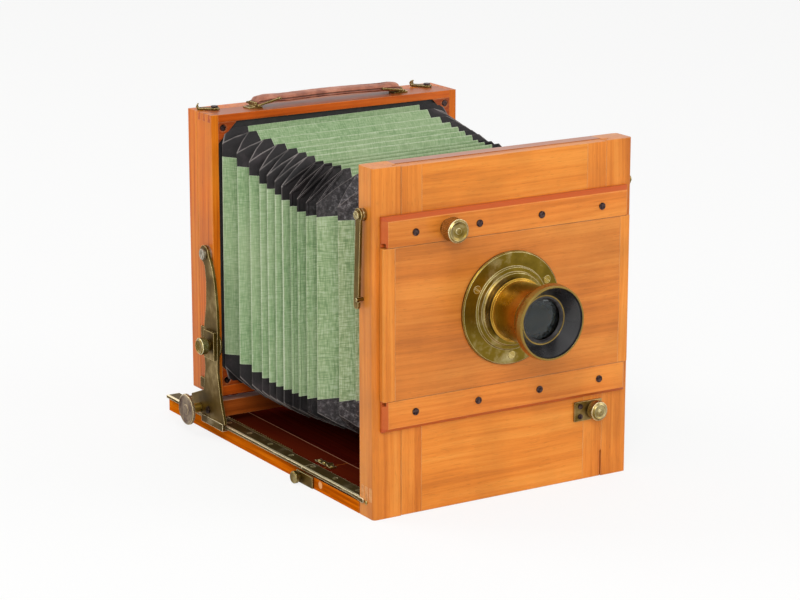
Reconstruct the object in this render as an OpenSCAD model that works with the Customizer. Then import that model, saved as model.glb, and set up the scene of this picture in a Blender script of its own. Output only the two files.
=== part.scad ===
// Wooden field camera with a pleated bellows, rack focus and a rising lens front.
// +X is to the right of a person standing behind the camera, +Y runs from the lens to the screen,
// +Z is up. The origin is the tripod bush on the underside.
// Side fittings are drawn on the right and mirrored, so their sizes are given once.
// Depths are counted from the front face of the front uprights and moved back in placed().

/* [Whole camera] */
// Width over the wooden bodies
body_w = 204; // [200:1:210]
// Height of the front standard
front_h = 235; // [231:1:240]
// Depth of the front standard
front_d = 18.4; // [17.6:0.1:19.6]
// Distance from the front face back to the tripod bush
bush_back = 55; // [50:1:60]

/* [Bed] */
// Step in from the front bed's side to the tailboard's side
tail_in = 1.5; // [1:0.1:2.5]
// Thickness of the side rails
bed_t = 8.5; // [8.2:0.1:9]
// Width of one side rail
rail_w = 36; // [33:0.5:38]
// Thickness of the floor panels
floor_t = 7; // [6:0.1:7.6]
// Depth at which the front bed ends and the tailboard begins
bed_split = 92; // [88:0.5:96]
// Depth at which the tailboard ends
bed_end = 296.4; // [294:0.2:302]
// Depth of the tailboard's end rail
end_rail_d = 24; // [18:1:28]
// Open seam between the front bed and the tailboard
seam = 0.4; // [0.3:0.05:0.8]

/* [Track and rack] */
// Width of the brass track plate
track_w = 10.6; // [10:0.1:11]
// Thickness of the track plate
track_t = 2; // [1.8:0.1:2.2]
// Height of the strip under the track plate
track_rise = 2; // [1.8:0.1:2.2]
// Overhang of the track plate beyond the side of the front
lip_over = 1.4; // [1.2:0.1:1.6]
// Depth of the groove under the track plate's outer edge
groove_in = 4.4; // [4.2:0.1:4.8]
// Depth of the rounded tip of the track plate
lip_front = 12.5; // [12:0.5:14]
// Spacing of the track screws
screw_step = 30; // [29:0.5:30.5]
// Radius of the bed screw heads
screw_r = 1.6; // [1.4:0.1:1.7]
// Tooth module of rack and pinion
tooth_m = 1; // [1:0.01:1]
// Teeth on a pinion
pinion_teeth = 14; // [14:1:14]
// Play between meshing teeth
tooth_play = 0.12; // [0.1:0.01:0.2]
// Width of a rack
rack_w = 3.2; // [3:0.1:3.6]
// Depth at which the racks begin
rack_front = 126; // [122:1:128]

/* [Tripod bush] */
// Radius of the tripod screw hole
bush_bore_r = 4.76; // [4.76:0.01:4.76]
// Radius of the bush flange
bush_flange_r = 20; // [17:0.5:24]
// Thickness of the bush flange
bush_flange_t = 2; // [1.6:0.1:2.6]
// Outer radius of the bush barrel
bush_r = 9; // [7.5:0.5:11]

/* [Front standard] */
// Width of one upright
stile_w = 21; // [19:0.5:23]
// Rounding of the uprights' outer edges
stile_round = 2.4; // [1.5:0.1:3]
// Thickness of the rising panel
panel_t = 8.3; // [7.8:0.1:8.6]
// Gap between pieces that slide on one another
slide_gap = 0.3; // [0.3:0.02:0.4]
// Depth of the panel's side tongue
tongue_d = 4; // [3:0.1:5]
// Thickness of the panel's side tongue
tongue_t = 2.5; // [2:0.1:3]
// Width of the upright grain battens on the panel
batten_w = 15.5; // [13:0.5:17]
// Half width of the panel opening behind the lens
opening_x = 42; // [40:1:46]
// Bottom of the panel opening
opening_low = 100; // [97:1:103]
// Top of the panel opening
opening_high = 165; // [162:1:168]
// Half width of the bellows opening behind the panel
throat_x = 62; // [58:1:64]
// Bottom of the bellows opening
throat_low = 62; // [60:1:66]
// Top of the bellows opening
throat_high = 194; // [190:1:196]

/* [Strips and lens board] */
// Step in from the front's side to the ends of the two cross strips
strip_in = 5; // [4:0.5:6]
// Thickness of the strips and the lens board
strip_t = 5.7; // [5.4:0.1:6.2]
// Bottom of the lower strip
low_strip_z = 60; // [58:0.5:62]
// Height of the lower strip
low_strip_h = 21; // [20:0.5:22]
// Height of the lens board space between the strips
board_space = 102.5; // [101:0.5:104]
// Height of the upper strip
top_strip_h = 20; // [19:0.5:21]
// Bevel on the strips' outer edges
strip_bevel = 3; // [2:0.1:3.5]
// Step in from the front's side to the ends of the lens board
board_in = 4.5; // [4:0.5:6]
// Width of the lens board's end battens
board_batten = 8.5; // [7:0.5:10]
// Depth of the lens board's sliding tongues
board_tongue = 2.5; // [2:0.1:3]
// Radius of the strip screw heads
strip_screw_r = 2.4; // [2:0.1:2.8]

/* [Front locks] */
// Radius of the cross-shift lock knob
shift_knob_r = 8; // [7.5:0.1:8.6]
// Distance of the cross-shift lock from the middle
shift_knob_x = -49; // [-52:1:-46]
// Radius of the rise lock knob
rise_knob_r = 6.75; // [6.3:0.05:7]
// Distance of the rise lock from the rising panel's edge
rise_knob_in = 7.7; // [7.2:0.1:9.2]
// Height of the rise lock
rise_knob_z = 49.4; // [48.8:0.1:50]

/* [Lens] */
// Height of the lens axis
lens_z = 132.2; // [131:0.2:133.6]
// Radius of the lens flange
flange_r = 38.5; // [37:0.5:40]
// Thickness of the lens flange
flange_t = 2.5; // [2:0.1:3]
// Radius of the circle of flange screws
flange_pitch_r = 32; // [31:0.5:33]
// Radius of the raised ring on the flange
ring_r = 25; // [24:0.2:26]
// Depth of the raised ring's front
ring_front = 12; // [11:0.2:13]
// Radius of the lens barrel
barrel_r = 20; // [19.4:0.1:20.6]
// Radius of the dark collar on the barrel
collar_r = 21.5; // [21:0.1:22]
// Outer radius of the flared hood
hood_r = 25.5; // [24.5:0.1:26.5]
// Distance of the hood's front from the front face
hood_front = 55.5; // [54:0.5:57]
// Radius of the hood's front opening
hood_mouth_r = 23.5; // [23:0.1:24]
// Radius of the glass
glass_r = 15.7; // [15:0.1:16.2]

/* [Hooks and bed locks] */
// Distance of the hook pivots from the top of the front
hook_down = 31.2; // [30:0.2:33]
// Depth of the hook pivots
hook_y = 11; // [10:0.2:12]
// Width of a hook arm
hook_w = 5.6; // [5:0.1:6]
// Distance from the hook pivot down to the resting pin
hook_reach = 56.3; // [55:0.1:58]
// Thickness of the hook arms and of the struts
plate_t = 2; // [1.8:0.1:2.2]
// Radius of the bed lock knobs
bed_knob_r = 4.3; // [4.1:0.05:4.5]

/* [Carriage] */
// Depth of the carriage board's front face
carriage_y = 218.6; // [217:0.2:220]
// Thickness of the carriage board from front to back
carriage_d = 10; // [9.4:0.1:10.3]
// Top of the carriage board
carriage_top = 26; // [25:0.2:26.4]
// Depth of the focus shaft axis
shaft_y = 237; // [236.8:0.1:237.6]
// Radius of the focus shaft
shaft_r = 3; // [2.6:0.1:3.3]
// Radius of the focus knobs
focus_knob_r = 11.35; // [11:0.05:11.6]
// Height of the swing pivots
pivot_z = 134.4; // [133:0.2:136]
// Depth of the swing pivots
pivot_y = 226.5; // [226:0.1:227]
// Radius of the struts' round top
strut_top_r = 6.3; // [5.8:0.1:6.8]

/* [Swing frame] */
// Depth of the swing frame from front to back
frame_d = 22; // [21:0.2:22.6]
// Bottom of the swing frame
frame_low = 30; // [29.6:0.1:31]
// Thickness of the frame's boards
frame_t = 5.5; // [5:0.1:6]
// Height of the frame's bottom board
frame_low_t = 7; // [6:0.1:7.4]
// Side of the corner gussets
gusset = 15; // [13:0.5:16]
// Thickness of the gussets
gusset_t = 1.4; // [1.2:0.1:1.5]
// Height of the swing clamps
clamp_z = 70; // [69:0.2:71]
// Depth of the swing clamps
clamp_y = 216.5; // [216:0.1:217]
// Radius of the clamp studs
stud_r = 2; // [1.8:0.05:2.1]
// Swing of the frame with its lower edge going forward, in degrees
swing_forward = 2.5; // [2:0.1:2.5]
// Swing of the frame with its lower edge going back, in degrees
swing_back = 7; // [6:0.1:7]
// Radius of the swing clamp knobs
clamp_knob_r = 6.2; // [6:0.05:6.6]

/* [Reversing back] */
// Thickness of the reversing back
back_t = 12.5; // [12:0.1:13]
// Half width of the picture opening
picture_x = 80; // [78:1:82]
// Half height of the picture opening
picture_z = 58; // [56:1:60]
// Thickness of the focusing screen's frame
screen_t = 7; // [6:0.1:7.4]
// Width of the focusing screen's frame bars
screen_bar = 11; // [10:0.5:12]
// Thickness of the ground glass
glass_t = 1.8; // [1.6:0.1:2]

/* [Handle and catches] */
// Left end of the handle strap
handle_left = -60; // [-62:1:-58]
// Right end of the handle strap
handle_right = 58.5; // [57:0.5:62]
// Width of the handle strap
handle_w = 14; // [12:0.5:15]
// Height of the strap's middle above the frame
handle_rise = 6.4; // [6:0.1:7]
// Thickness of the strap
handle_t = 3.4; // [3:0.1:3.8]

/* [Bellows] */
// Number of pleats
pleats = 14; // [14:1:14]
// Depth of a pleat
pleat_depth = 15; // [13:0.5:16]
// Thickness of the bellows cloth
cloth_t = 1.2; // [1:0.1:1.4]
// Sag of the bellows' underside in the middle
bellows_sag = 17; // [14:0.5:19]
// Sag of the bellows' top in the middle
top_sag = 3.2; // [2:0.1:4]

/* [Hidden] */
$fn = 48;
// Fine turning for the large lens rings
round_fn = 96;
// Radial play of turning shafts
play = 0.05;
// Overrun of cutting bodies
over = 1;
// Hairline between pieces that are glued edge to edge
joint_line = 0.05;
half_w = body_w / 2;
tail_x = half_w - tail_in;
rail_x = half_w - rail_w;
stile_x = half_w - stile_w;
// The track plate's outer edge stands clear of the front uprights
lip_x = half_w + 0.1;
lip_out = half_w + lip_over;
track_x = lip_out - track_w;
groove_x = lip_out - groove_in;
lip_low = bed_t + track_rise;
track_top = lip_low + track_t;
track_end = bed_end - 1.5;
// Rack and pinion
rack_x = track_x - 0.4 - rack_w;
pitch_r = tooth_m * pinion_teeth / 2;
tooth_pitch = PI * tooth_m;
// Short teeth keep a small pinion free of undercut
tooth_high = 0.8 * tooth_m;
tooth_deep = 1.05 * tooth_m;
pitch_z = bed_t + 2.7;
shaft_z = pitch_z + pitch_r;
pinion_out = pitch_r + tooth_high;
// The rising panel sits proud of the uprights by the sliding gap, and the strips on it clear them
panel_front = -slide_gap;
panel_back = panel_front + panel_t;
inner_front = panel_back + slide_gap + 0.1;
panel_x = stile_x - slide_gap;
tongue_y = 3;
board_low = low_strip_z + low_strip_h;
board_high = board_low + board_space;
strip_front = panel_front - strip_t;
lens_board_back = panel_front - slide_gap;
low_screw_z = low_strip_z + 12;
top_screw_z = board_high + 8.5;
strip_x = half_w - strip_in;
board_x = half_w - board_in;
// The outer strip screws stand in the middle of the upright grain battens
strip_screw_step = (panel_x - 7.2) / 3;
rise_knob_x = panel_x - rise_knob_in;
plate_x0 = rise_knob_x - 16;
rise_plate_h = 13.6;
// Side plates outside the wood
strut_in = half_w + 1.5;
strut_out = strut_in + plate_t;
hook_in = half_w + 2.5;
hook_out = hook_in + plate_t;
hook_z = front_h - hook_down;
shoe_out = strut_out + 0.7;
shoe_top = track_top + slide_gap + 1.3;
frame_y = carriage_y;
frame_back = frame_y + frame_d;
back_y = frame_back + seam;
back_end = back_y + back_t;
frame_high = front_h;
plate_in_t = 1.2;
clamp_x = strut_out + slide_gap;
block_t = 2.5;
knob_x = clamp_x + block_t + slide_gap;
screen_y = back_end + seam;
picture_mid = (frame_low + frame_high) / 2;
screen_x = picture_x + screen_bar + 1;
screen_z = picture_z + screen_bar + 1;
screen_hinge_z = picture_mid + screen_z + 2.6;
screen_hinge_y = screen_y + 2.3;
// Ends of the bellows and its last side ridge
bellows_front = front_d;
bellows_back = frame_y + gusset_t;
last_fold = frame_y - 1;
function lerp(a, b, t) = a + (b - a) * t;

// Shared shapes

module placed() {
  translate([0, -bush_back, 0]) children();
}

// Draws a right-hand piece and its mirror image
module both() {
  children();
  mirror([1, 0, 0]) children();
}

module box(x0, x1, y0, y1, z0, z1) {
  translate([x0, y0, z0]) cube([x1 - x0, y1 - y0, z1 - z0]);
}

module rod_x(x0, x1, y, z, r) {
  translate([x0, y, z]) rotate([0, 90, 0]) cylinder(h = x1 - x0, r = r);
}

module rod_y(y0, y1, x, z, r) {
  translate([x, y0, z]) rotate([-90, 0, 0]) cylinder(h = y1 - y0, r = r);
}

module rod_z(z0, z1, x, y, r) {
  translate([x, y, z0]) cylinder(h = z1 - z0, r = r);
}

// Extrudes an outline in depth and height along X
module slab_x(x0, x1) {
  translate([x0, 0, 0]) rotate([90, 0, 90]) linear_extrude(x1 - x0) children();
}

// Extrudes an outline in width and height along Y
module slab_y(y0, y1) {
  translate([0, y1, 0]) rotate([90, 0, 0]) linear_extrude(y1 - y0) children();
}

// Turns a profile of radius and depth about an axis along Y
module turned_y(x, z) {
  translate([x, 0, z]) rotate([-90, 0, 0]) rotate_extrude($fn = round_fn) children();
}

// Turns a profile of radius and outward distance about an axis along X
module turned_x(x, y, z) {
  translate([x, y, z]) rotate([0, 90, 0]) rotate_extrude() children();
}

// Ring of knurl teeth round a knob
module knurl(r, h, teeth) {
  linear_extrude(h) polygon([for (i = [0 : 2 * teeth - 1])
    let (q = i % 2 == 0 ? r : r - 0.4) q * [cos(180 * i / teeth), sin(180 * i / teeth)]]);
}

// Slot of a screw head, cut along the head's face
module slot_cut(x0, x1, y, z, r, turn) {
  translate([x0, y, z]) rotate([turn, 0, 0]) translate([0, -r, -0.3]) cube([x1 - x0, 2 * r, 0.6]);
}

// Bed

module track_screw_places(first, last) {
  for (i = [first : last]) translate([track_x + 4.2, 28 + i * screw_step, 0]) children();
}

// Place and size of the dowel in each side of the bed
dowel_y = 69.5;
dowel_z = 5.2;
dowel_r = 2.5;
dowel_in = 5;

module bed_rails() {
  color("#c8641c") placed() both() difference() {
    box(rail_x, half_w, front_d, bed_split, 0, bed_t);
    rod_x(half_w - dowel_in, half_w + over, dowel_y, dowel_z, dowel_r);
    track_screw_places(0, 2) rod_z(bed_t - 4, bed_t + over, 0, 0, 1.1);
  }
}

module tail_rails() {
  color("#c8641c") placed() both() difference() {
    box(rail_x, tail_x, bed_split + seam, bed_end, 0, bed_t);
    track_screw_places(3, 8) rod_z(bed_t - 4, bed_t + over, 0, 0, 1.1);
  }
}

module tail_end_rail() {
  color("#b4551a") placed() box(-rail_x, rail_x, bed_end - end_rail_d, bed_end, 0, bed_t);
}

module bed_panel() {
  color("#6e1a0c") placed() difference() {
    box(-rail_x, rail_x, front_d, bed_split, 0, floor_t);
    rod_z(-over, bush_flange_t, 0, bush_back, bush_flange_r + play);
    rod_z(-over, floor_t + over, 0, bush_back, bush_r + play);
    bush_screw_places() rod_z(-over, floor_t - 1, 0, 0, 1.2 + play);
  }
}

module tail_panel() {
  color("#6e1a0c") placed()
    box(-rail_x, rail_x, bed_split + seam, bed_end - end_rail_d, 0.6, floor_t);
}

// Plate on a narrower strip, parted at the seam, so that the slides hook under its outer edge
module tracks() {
  tip_r = 1.5;
  tip_end = front_d + 8;
  color("#8f7a2c") placed() both() difference() {
    union() {
      box(track_x, groove_x, front_d + 0.1, track_end, bed_t, lip_low);
      box(track_x, lip_x + 0.2, front_d + 0.1, track_end, lip_low, track_top);
      box(lip_x, lip_out, tip_end - 0.1, track_end, lip_low, track_top);
      slab_x(lip_x, lip_out) hull() {
        translate([lip_front, lip_low + 0.2]) circle(r = tip_r, $fn = 32);
        translate([tip_end - 1, lip_low]) square([1, track_t]);
      }
    }
    box(track_x - over, lip_out + over, bed_split, bed_split + seam, bed_t - over, track_top + over);
    track_screw_places(0, 8) {
      rod_z(track_top - 1, track_top + over, 0, 0, screw_r + play);
      rod_z(bed_t - over, track_top, 0, 0, 1.1);
    }
  }
}

// Rack with straight tooth flanks at 20 degrees; one tooth stands under the shaft at rest
module racks() {
  first = ceil((rack_front - shaft_y) / tooth_pitch) + 1;
  last = floor((bed_end - 6 - shaft_y) / tooth_pitch);
  root_half = tooth_pitch / 4 + tooth_deep * tan(20) - tooth_play / 2;
  tip_half = tooth_pitch / 4 - tooth_high * tan(20) - tooth_play / 2;
  color("#a08834") placed() both() slab_x(rack_x, rack_x + rack_w) polygon(concat(
    [[rack_front, bed_t], [rack_front, pitch_z - tooth_deep]],
    [for (i = [first : last]) let (y = shaft_y + i * tooth_pitch)
      each [[y - root_half, pitch_z - tooth_deep], [y - tip_half, pitch_z + tooth_high],
        [y + tip_half, pitch_z + tooth_high], [y + root_half, pitch_z - tooth_deep]]],
    [[bed_end - 3, pitch_z - tooth_deep], [bed_end - 3, bed_t]]));
}

module bush_screw_places() {
  for (a = [30, 150, 270])
    translate([15 * cos(a), bush_back + 15 * sin(a), 0]) children();
}

// Track screws, hinge screws, the bush screws and the two screws ahead of the track tips
module bed_screws() {
  color("#5b4a18") placed() {
    both() track_screw_places(0, 8) {
      rod_z(track_top - 1, track_top, 0, 0, screw_r);
      rod_z(bed_t - 3.5, track_top - 1, 0, 0, 1);
    }
    both() rod_x(half_w, half_w + 0.6, 9, 10.2, 1.3);
    both() for (y = [bed_split - 3.4, bed_split + 7, bed_split + 13])
      rod_z(bed_t + hinge_t, bed_t + hinge_t + 0.5, (hinge_x0 + hinge_x1) / 2, y, 1.2);
    bush_screw_places() {
      rod_z(0.4, 1.2, 0, 0, 2.3);
      rod_z(1.2, floor_t - 1.5, 0, 0, 1.2);
    }
  }
}

hinge_t = 1.2;
hinge_x1 = rack_x - 5;
hinge_x0 = hinge_x1 - 5;
hinge_front = bed_split - 5.5;
hinge_back = bed_split + 16;

// A short and a long leaf with a knuckle at each side, over the seam
module bed_hinges() {
  mid = bed_split + seam / 2;
  color("#8f7a2c") placed() both() {
    difference() {
      union() {
        box(hinge_x0, hinge_x1, hinge_front, mid - 0.2, bed_t, bed_t + hinge_t);
        box(hinge_x0, hinge_x1, mid + 0.2, hinge_back, bed_t, bed_t + hinge_t);
        rod_x(hinge_x0, hinge_x1, mid, bed_t + hinge_t, 1.5);
      }
      box(hinge_x0 - over, hinge_x1 + over, hinge_front, hinge_back, bed_t - 4, bed_t);
      rod_x(hinge_x0 - over, hinge_x1 + over, mid, bed_t + hinge_t, 0.75);
    }
    rod_x(hinge_x0, hinge_x1, mid, bed_t + hinge_t, 0.7);
  }
}

lock_y = bed_split + 3.5;
lock_z = 4.6;

lock_plate_t = 1.5;

// Plate on the front bed that reaches back beside the tailboard
module bed_lock_plates() {
  color("#8f7a2c") placed() both() difference() {
    box(half_w, half_w + lock_plate_t, bed_split - 14, bed_split + 7.5, 0.3, bed_t - 0.1);
    rod_x(half_w - over, half_w + lock_plate_t + over, lock_y, lock_z, 1.6 + play);
  }
}

// End grain of the joints that shows on the side faces: three fingers and a dowel a side
module joint_ends() {
  color("#e0b070") placed() both() {
    for (i = [0 : 2]) box(half_w - 5, half_w, 2.4 + i * 5, 5.4 + i * 5, 12, 21);
    rod_x(half_w - dowel_in, half_w, dowel_y, dowel_z, dowel_r);
  }
}

module tripod_bush() {
  color("#a08834") placed() difference() {
    union() {
      rod_z(0, bush_flange_t, 0, bush_back, bush_flange_r);
      rod_z(0, floor_t, 0, bush_back, bush_r);
    }
    rod_z(-over, floor_t + over, 0, bush_back, bush_bore_r);
    bush_screw_places() {
      rod_z(-over, 1.2, 0, 0, 2.3 + play);
      rod_z(0, floor_t, 0, 0, 1.2 + play);
    }
  }
}

// Front standard

// Uprights with rounded outer edges and a groove for the rising panel
module front_stiles() {
  color("#d97e30") placed() both() difference() {
    union() {
      box(stile_x, half_w - stile_round, 0, front_d, 0, front_h);
      box(stile_x, half_w, stile_round, front_d - 1, 0, front_h);
      rod_z(0, front_h, half_w - stile_round, stile_round, stile_round);
      box(half_w - 2 * stile_round, half_w - 0.6, front_d - 2, front_d - 0.4, 0, front_h);
    }
    box(stile_x - over, stile_x + tongue_d + 0.4, tongue_y - 0.4, tongue_y + tongue_t + 0.4,
      -over, front_h + over);
    for (i = [0 : 2])
      box(half_w - 5, half_w + over, 2.4 + i * 5, 5.4 + i * 5, 12, 21);
    rod_x(half_w - 9, half_w + over, hook_y, hook_z, 1.6);
    rod_x(half_w - 6, half_w + over, hook_pin_y, hook_z - hook_reach, 1.3);
  }
}

// Four bars round the bellows opening, a hairline apart
module front_inner_frame() {
  color("#b8641e") placed() {
    box(-stile_x, stile_x, inner_front, front_d, 0, throat_low);
    box(-stile_x, stile_x, inner_front, front_d, throat_high, front_h);
    both() box(throat_x, stile_x, inner_front, front_d, throat_low + joint_line,
      throat_high - joint_line);
  }
}

// Plain middle of the rising panel with the opening for the lens
module rising_panel() {
  x = panel_x - batten_w;
  color("#e08a3c") placed() difference() {
    box(-x, x, panel_front, panel_back, 0.4, front_h - 0.4);
    box(-opening_x, opening_x, panel_front - over, panel_back + over, opening_low, opening_high);
    rod_y(panel_front - over, panel_back - 2, shift_knob_x, top_screw_z, 2.5 + play);
    for (i = [-1, 1], z = [low_screw_z, top_screw_z])
      rod_y(panel_front - over, panel_front + 5, i * strip_screw_step, z, 1.2);
    rise_screw_places() rod_y(panel_front - over, panel_front + 5, 0, 0, 1);
  }
}

module panel_batten() {
  x = panel_x - batten_w;
  difference() {
    union() {
      box(x + joint_line, panel_x, panel_front, panel_back, 0.4, front_h - 0.4);
      box(panel_x - over, panel_x + tongue_d, tongue_y, tongue_y + tongue_t, 0.4, front_h - 0.4);
    }
    for (z = [low_screw_z, top_screw_z])
      rod_y(panel_front - over, panel_front + 5, 3 * strip_screw_step, z, 1.2);
  }
}

// Upright grain edges; the right one carries the rise lock and is cut back at its foot
module panel_battens() {
  color("#e59a50") placed() {
    mirror([1, 0, 0]) panel_batten();
    difference() {
      panel_batten();
      box(panel_x - 1.2, panel_x + over, panel_front - over, 2.5, -over, 18.7);
      rod_y(panel_front - over, panel_back - 2, rise_knob_x, rise_knob_z, 2 + play);
    }
  }
}

// Strip with a bevel along its outer long edge and at both ends, behind a short step
module bevelled_strip(z0, z1, bevel_top) {
  y1 = panel_front;
  y2 = panel_front - 2;
  b = strip_bevel;
  intersection() {
    slab_x(-strip_x, strip_x) polygon(bevel_top
      ? [[y1, z0], [y1, z1], [y2, z1], [strip_front, z1 - b], [strip_front, z0]]
      : [[y1, z0], [y1, z1], [strip_front, z1], [strip_front, z0 + b], [y2, z0]]);
    translate([0, 0, z0]) linear_extrude(z1 - z0) polygon([[-strip_x, y1], [-strip_x, y2],
      [-strip_x + b, strip_front], [strip_x - b, strip_front], [strip_x, y2], [strip_x, y1]]);
  }
}

// Cross strips whose inner edges are grooved for the lens board's tongues
module strips() {
  tongue = [lens_board_back - 1.6 - tongue_t + 0.2, lens_board_back - 1.2 + 0.2];
  color("#dc8436") placed() difference() {
    union() {
      bevelled_strip(low_strip_z, board_low, false);
      bevelled_strip(board_high, board_high + top_strip_h, true);
    }
    box(-strip_x - over, strip_x + over, tongue[0], tongue[1], board_low - board_tongue - 0.4,
      board_low + over);
    box(-strip_x - over, strip_x + over, tongue[0], tongue[1], board_high - over,
      board_high + board_tongue + 0.4);
    rod_y(strip_front - over, panel_front + over, shift_knob_x, top_screw_z, 2.5 + play);
    for (i = [-3, -1, 1, 3], z = [low_screw_z, top_screw_z])
      rod_y(strip_front - over, panel_front + over, i * strip_screw_step, z, 1.2);
  }
}

// Strip screws and the two screws of the rise lock plate
module front_screws() {
  color("#4a463c") placed() {
    for (i = [-3, -1, 1, 3], z = [low_screw_z, top_screw_z]) {
      rod_y(strip_front - 0.7, strip_front, i * strip_screw_step, z, strip_screw_r);
      rod_y(strip_front, panel_front + 4.5, i * strip_screw_step, z, 1.15);
    }
    rise_screw_places() {
      rod_y(panel_front - 2.3, panel_front - 1.5, 0, 0, 1.8);
      rod_y(panel_front - 1.5, panel_front + 4, 0, 0, 0.95);
    }
  }
}

module rise_screw_places() {
  for (dz = [-3.6, 3.6]) translate([plate_x0 + 4.5, 0, rise_knob_z + dz]) children();
}

module rise_lock_plate() {
  color("#8f7a2c") placed() difference() {
    box(plate_x0, panel_x - 1.4, panel_front - 1.5, panel_front, rise_knob_z - rise_plate_h / 2,
      rise_knob_z + rise_plate_h / 2);
    rod_y(panel_front - 2 * over - 1, panel_front + over, rise_knob_x, rise_knob_z, 2 + play);
    rise_screw_places() rod_y(panel_front - 3, panel_front + over, 0, 0, 0.95 + play);
  }
}

// Turned knob with stepped rings on its face and a knurled rim
module rise_lock_knob() {
  y0 = panel_front - 1.5 - slide_gap;
  r = rise_knob_r;
  color("#a08834") placed() {
    turned_y(rise_knob_x, rise_knob_z) polygon([[0, panel_back - 3], [2, panel_back - 3],
      [2, y0], [r - 2, y0], [r - 0.6, y0 - 1], [r - 0.6, y0 - 6.6], [r - 2, y0 - 7.6],
      [r - 3, y0 - 7], [2, y0 - 7.4], [1.4, y0 - 8.2], [0, y0 - 8.2]]);
    translate([rise_knob_x, y0 - 1.2, rise_knob_z]) rotate([90, 0, 0]) knurl(r, 5, 36);
  }
}

module shift_lock_knob() {
  y0 = strip_front - slide_gap;
  r = shift_knob_r;
  color("#a08834") placed() {
    turned_y(shift_knob_x, top_screw_z) polygon([[0, panel_back - 3], [2.5, panel_back - 3],
      [2.5, y0], [r - 2, y0], [r - 2, y0 - 3], [r - 0.6, y0 - 4], [r - 0.6, y0 - 12.6],
      [r - 1.6, y0 - 13.4], [r - 2.6, y0 - 12.8], [r - 4.6, y0 - 12], [2, y0 - 12],
      [2, y0 - 13], [0, y0 - 13]]);
    translate([shift_knob_x, y0 - 4.2, top_screw_z]) rotate([90, 0, 0]) knurl(r, 8.2, 40);
  }
}

// Lens board and lens

module lens_board() {
  x = board_x - board_batten;
  low = board_low + slide_gap;
  high = board_high - slide_gap;
  color("#d8782c") placed() difference() {
    union() {
      box(-x, x, strip_front, lens_board_back, low, high);
      box(-x, x, lens_board_back - 1.4 - tongue_t + 0.8, lens_board_back - 1.4,
        low - board_tongue, high + board_tongue);
    }
    rod_y(strip_front - over, lens_board_back + over, 0, lens_z, barrel_r + 3);
    flange_screw_places() rod_y(strip_front - over, lens_board_back - 1, 0, 0, 1.3);
  }
}

module lens_board_battens() {
  x = board_x - board_batten + joint_line;
  low = board_low + slide_gap;
  high = board_high - slide_gap;
  r = 1.8;
  color("#e08a3c") placed() both() {
    box(x, board_x - r, strip_front, lens_board_back, low, high);
    box(board_x - r - 0.1, board_x, strip_front + r, lens_board_back, low, high);
    rod_z(low, high, board_x - r, strip_front + r, r);
  }
}

module flange_screw_places() {
  for (a = [30, 150, 270])
    translate([flange_pitch_r * cos(a), 0, lens_z + flange_pitch_r * sin(a)]) children();
}

// Flange plate with a raised, stepped ring that the barrel turns in
module lens_flange() {
  y0 = strip_front;
  ring = -ring_front;
  bore = barrel_r + play;
  color("#a07c20") placed() difference() {
    turned_y(0, lens_z) polygon([[bore, y0 + 3], [barrel_r + 2.6, y0 + 3], [barrel_r + 2.6, y0],
      [flange_r, y0], [flange_r, y0 - flange_t + 0.8], [flange_r - 0.8, y0 - flange_t],
      [ring_r + 3.4, y0 - flange_t], [ring_r + 2.6, y0 - flange_t - 1.2],
      [ring_r, y0 - flange_t - 1.6], [ring_r, ring + 0.8], [ring_r - 0.8, ring],
      [bore, ring]]);
    flange_screw_places() {
      rod_y(y0 - flange_t - over, y0 - flange_t + 0.9, 0, 0, 2.6 + play);
      rod_y(y0 - flange_t, y0 + over, 0, 0, 1.3);
    }
  }
}

module flange_screws() {
  y0 = strip_front - flange_t;
  color("#8f7a2c") placed() flange_screw_places() difference() {
    union() {
      rod_y(y0 - 0.4, y0 + 0.9, 0, 0, 2.6);
      rod_y(y0 + 0.9, strip_front + 3.4, 0, 0, 1.25);
    }
    translate([0, y0 - 0.4, 0]) rotate([0, 35, 0]) cube([6, 1, 0.6], center = true);
  }
}

// Turned barrel: threaded rear, collar, lacquered tube and a flared hood
module lens_barrel() {
  c = -ring_front - slide_gap;
  f = -hood_front;
  bore = glass_r + play;
  color("#b0780e") placed() turned_y(0, lens_z) polygon([[bore, 12], [barrel_r - 1, 12],
    [barrel_r, 11], [barrel_r, c], [collar_r, c], [collar_r, c - 3], [barrel_r, c - 3.4],
    [barrel_r, f + 15], [barrel_r + 0.8, f + 13], [barrel_r + 0.8, f + 11],
    [barrel_r + 1.8, f + 9], [hood_r, f + 5.4], [hood_r, f + 4.2], [hood_r - 0.6, f + 1],
    [hood_r - 1, f], [hood_mouth_r, f], [hood_mouth_r - 0.6, f + 1.4], [bore + 0.8, f + 10.5],
    [bore, f + 10.5]]);
}

// Black ring that holds the front glass
module glass_ring() {
  f = 10.6 - hood_front;
  color("#1c1a18") placed() turned_y(0, lens_z) polygon([[glass_r - 2.2, f + 1.4],
    [glass_r - 1.2, f], [glass_r, f], [glass_r, f + 2.2], [glass_r - 1.4, f + 2.2]]);
}

// Front and rear lens groups
module lens_glass() {
  f = 12.9 - hood_front;
  bulge = 2.2;
  front = [for (i = [0 : 8]) let (r = (glass_r - 1.5) * i / 8)
    [r, f - bulge * (1 - pow(i / 8, 2))]];
  rear = [for (i = [0 : 8]) let (r = glass_r * (1 - i / 8))
    [r, 9 + bulge * (1 - pow(1 - i / 8, 2))]];
  color("#a8c4c8") placed() {
    turned_y(0, lens_z) polygon(concat(front, [[glass_r, f], [glass_r, f + 4], [0, f + 4]]));
    turned_y(0, lens_z) polygon(concat([[0, 5], [glass_r, 5]], rear));
  }
}

// Hooks and bed locks

hook_pin_y = hook_y + 1.6;

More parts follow.
